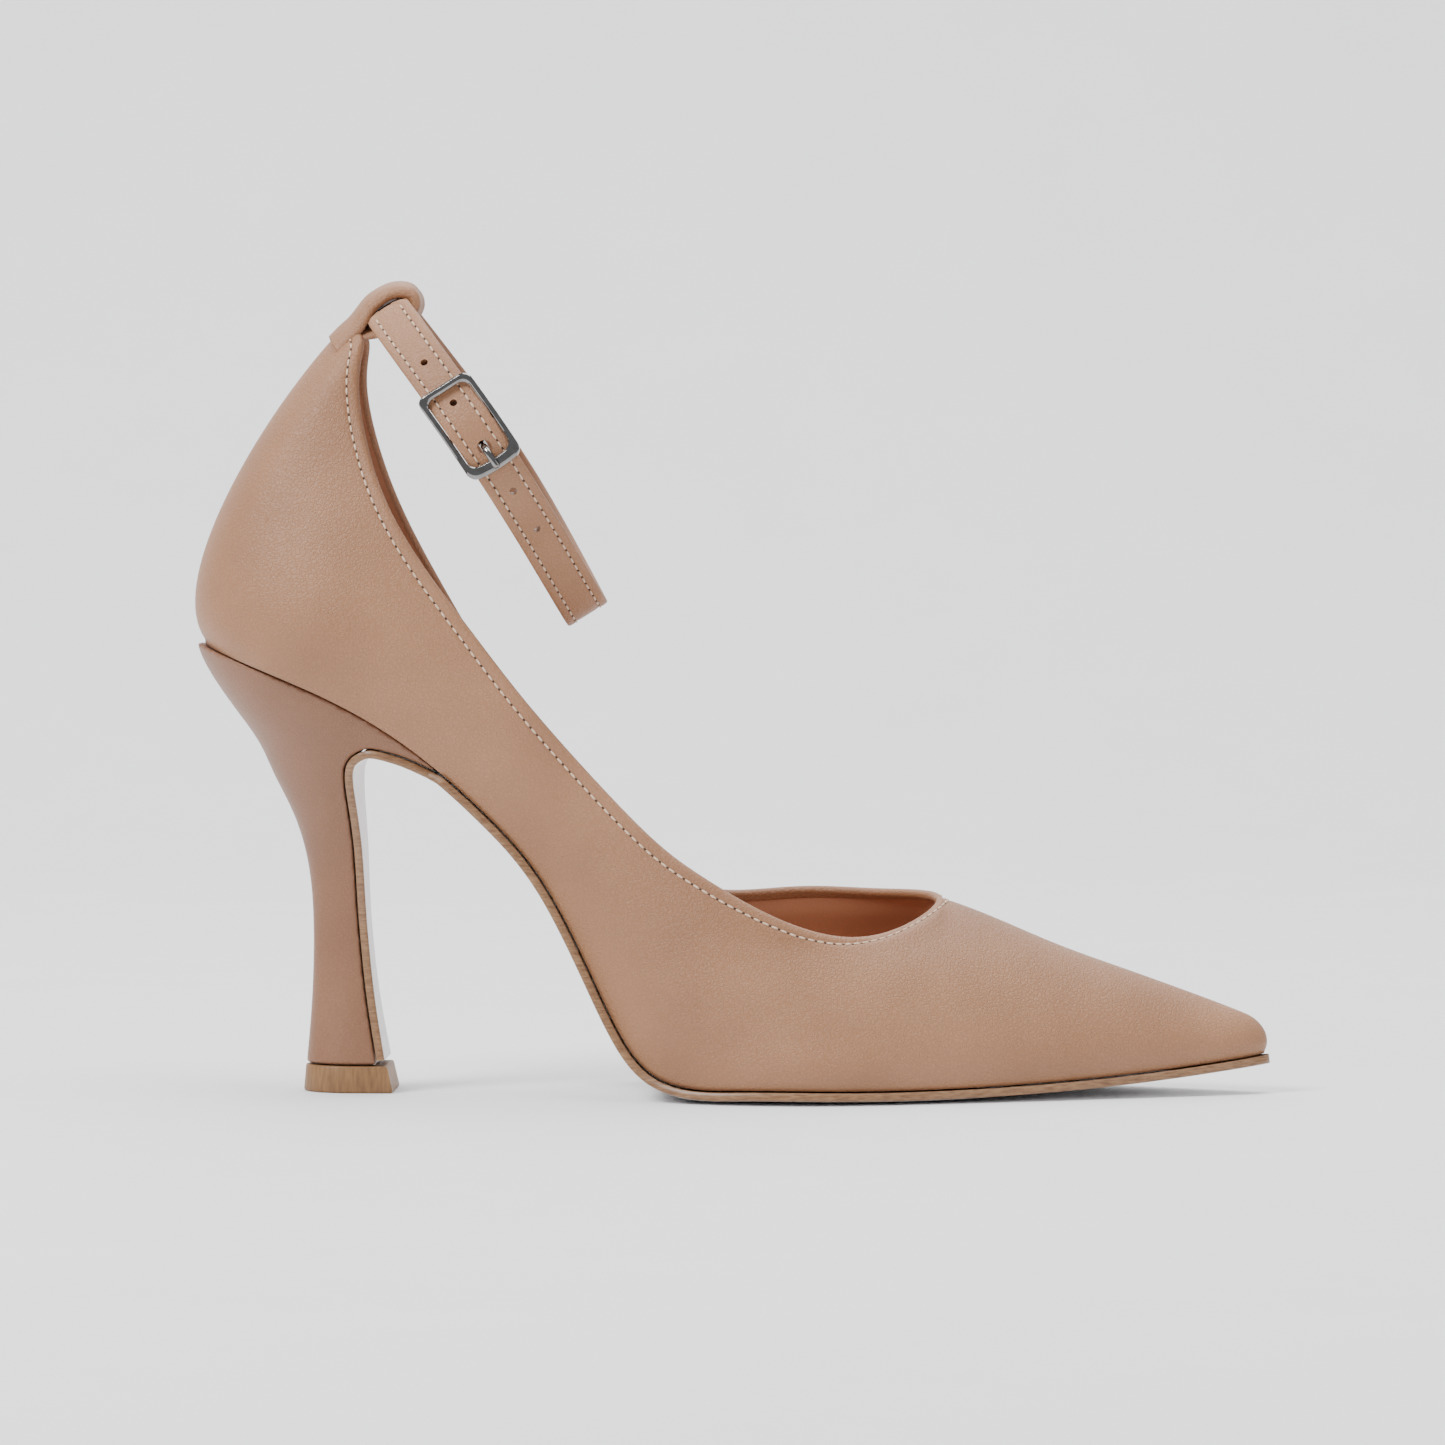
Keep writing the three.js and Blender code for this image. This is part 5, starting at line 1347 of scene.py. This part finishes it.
# %% Spread stitches
def spread(path, pitch, closed=False):
    """Evenly spaced places along a path."""
    if closed:
        path = np.concatenate([path, path[:1]])
    steps = np.concatenate([[0], np.cumsum(np.linalg.norm(np.diff(path, axis=0), axis=1))])
    count = max(int(round(steps[-1] / pitch)), 2)
    at = (np.arange(count) + 0.5) * steps[-1] / count
    centre = np.stack([np.interp(at, steps, path[:, k]) for k in range(3)], -1)
    half = pitch / 2
    ahead = np.stack([np.interp(at + half, steps, path[:, k]) for k in range(3)], -1)
    return centre, ahead, unit(ahead - centre)

# %% Lay on a surface
def laid_on(surface, places):
    """The nearest spots of a surface, and its normals there."""
    tree = BVHTree.FromObject(surface, bpy.context.evaluated_depsgraph_get())
    hits = [tree.find_nearest(Vector(point) * MM)[:2] for point in places]
    return np.array([hit for hit, _ in hits]) / MM, np.array([normal for _, normal in hits])

# %% Sew
PITCH = 2.05


def sew(name, path, surface, body, closed=False, length=1.5, width=0.48, raised=0.05):
    """Stitches along a path, laid on the surface of a piece, with a bead of painted shade for the needle hole
    between them.
    """
    centre, ahead, along = spread(path, PITCH, closed)
    for label, places, size, material, lift in (
            ("stitches", centre, (length, width, 0.45), thread_beige, raised),
            # The needle holes are small dark beads of painted shade, laid flush on the leather.
            ("needle_hole_shade", ahead, (0.62, 0.5, 0.18), painted_hole_shade, 0.0)):
        spots, normals_here = laid_on(surface, places)
        guide = make_object(name + "_" + label, spots + normals_here * lift, [], [])
        for key, values in (("along", along), ("out", normals_here)):
            layer = guide.data.attributes.new(key, "FLOAT_VECTOR", "POINT")
            layer.data.foreach_set("vector", values.astype(np.float32).ravel())
        run = guide.modifiers.new("beads", "NODES")
        run.node_group = beads
        sockets = {item.name: item.identifier for item in beads.interface.items_tree if item.in_out == "INPUT"}
        run[sockets["Size"]] = [value * MM for value in size]
        run[sockets["Material"]] = material
        bake(guide)
        guide.data.materials.clear()
        guide.data.materials.append(material)
        tell(guide)
        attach(guide, body)

# %% Topline stitches
topline_seam = top_path - lip_out * (STITCH_LINE - LIP)
sew("topline", topline_seam, upper, "shoe", closed=True)
behind_seam = (ribs[open_ribs] > SEAM + 0.1) & (ribs[open_ribs] < RING - SEAM - 0.1)
inner_seam = (topline_seam - lip_normal * 2 * LIP)[behind_seam]
sew("topline_inner", inner_seam, quarter_lining, "shoe")

# %% Strap stitches
ROW_OFFSET = 2.95        # each row from the strap's middle


def strap_rows():
    """Two rows along the strap's outer face, from the corner of its free end to the fold at the bar."""
    u = np.arange(-COUNT + TAIL_TIP + 0.22, BAR_STATION - 0.75, 0.04)
    tail = u < -COUNT + 7
    centre = loop_point(u, HALF_STEP + PLY / 2 + np.where(tail, tail_lift(u + COUNT), 0))
    for name, w in (("strap_upper_row", ROW_OFFSET), ("strap_lower_row", -ROW_OFFSET)):
        path = to_shoe(np.concatenate([centre, np.full((len(centre), 1), w)], axis=1))
        sew(name, path, strap_outer, "ankle_strap", length=1.45, width=0.42)


strap_rows()

# %% [markdown]
# ## Pieces inside the shoe
# The stiffeners, the boards, the block in the heel and its fasteners are hidden, so the CAD's own meshes stand
# for them. They only need the finish of what they are made of.

# %% Kept pieces
KEPT = {
    "toe_puff": felt, "heel_counter": felt, "heel_grip": lining_leather, "insole_board": fibre_board,
    "steel_shank": steel, "shank_rivet_1": steel, "shank_rivet_2": steel, "bottom_filler": latex_foam,
    "heel_pad": latex_foam, "heel_block": heel_plastic, "heel_tube": steel, "heel_screw": steel,
    "heel_nail_1": steel, "heel_nail_2": steel, "heel_nail_3": steel, "heel_nail_4": steel,
    "top_lift_pin": steel,
}
for node, material in KEPT.items():
    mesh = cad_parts[node].data
    mesh.materials.clear()
    mesh.materials.append(material)
print(len(KEPT), "pieces keep the CAD's shape")

# %% [markdown]
# ## Floor
# A roll of matt pale paper, laid on the floor and turned up into a wall behind the shoe. Its wide curve hides
# the corner, so that only the shoe's own shadow is seen.
# A camera more than 1.25 m behind the shoe stands behind this wall, and sees only paper.

# %% Floor
def studio_floor():
    """A floor that turns up into a wall behind the shoe."""
    radius, back_edge, front_edge, tall = 0.5, 0.75, -2.2, 2.2
    turn = np.linspace(0, math.pi / 2, 24)
    line = [(front_edge, 0), (0.0, 0)]
    line += [(back_edge + radius * math.sin(a), radius * (1 - math.cos(a))) for a in turn]
    line.append((back_edge + radius, tall))
    rows = np.array([[(x, y, z) for x in np.linspace(-3, 3, 9)] for y, z in line]) / MM
    stage_finish = smooth_finish("matt pale paper", "#eeeeef", "#ebebed", 0.02, rough=(0.8, 0.9))
    floor = make_object("floor", rows.reshape(-1, 3), grid_faces(*rows.shape[:2]), [stage_finish])


studio_floor()
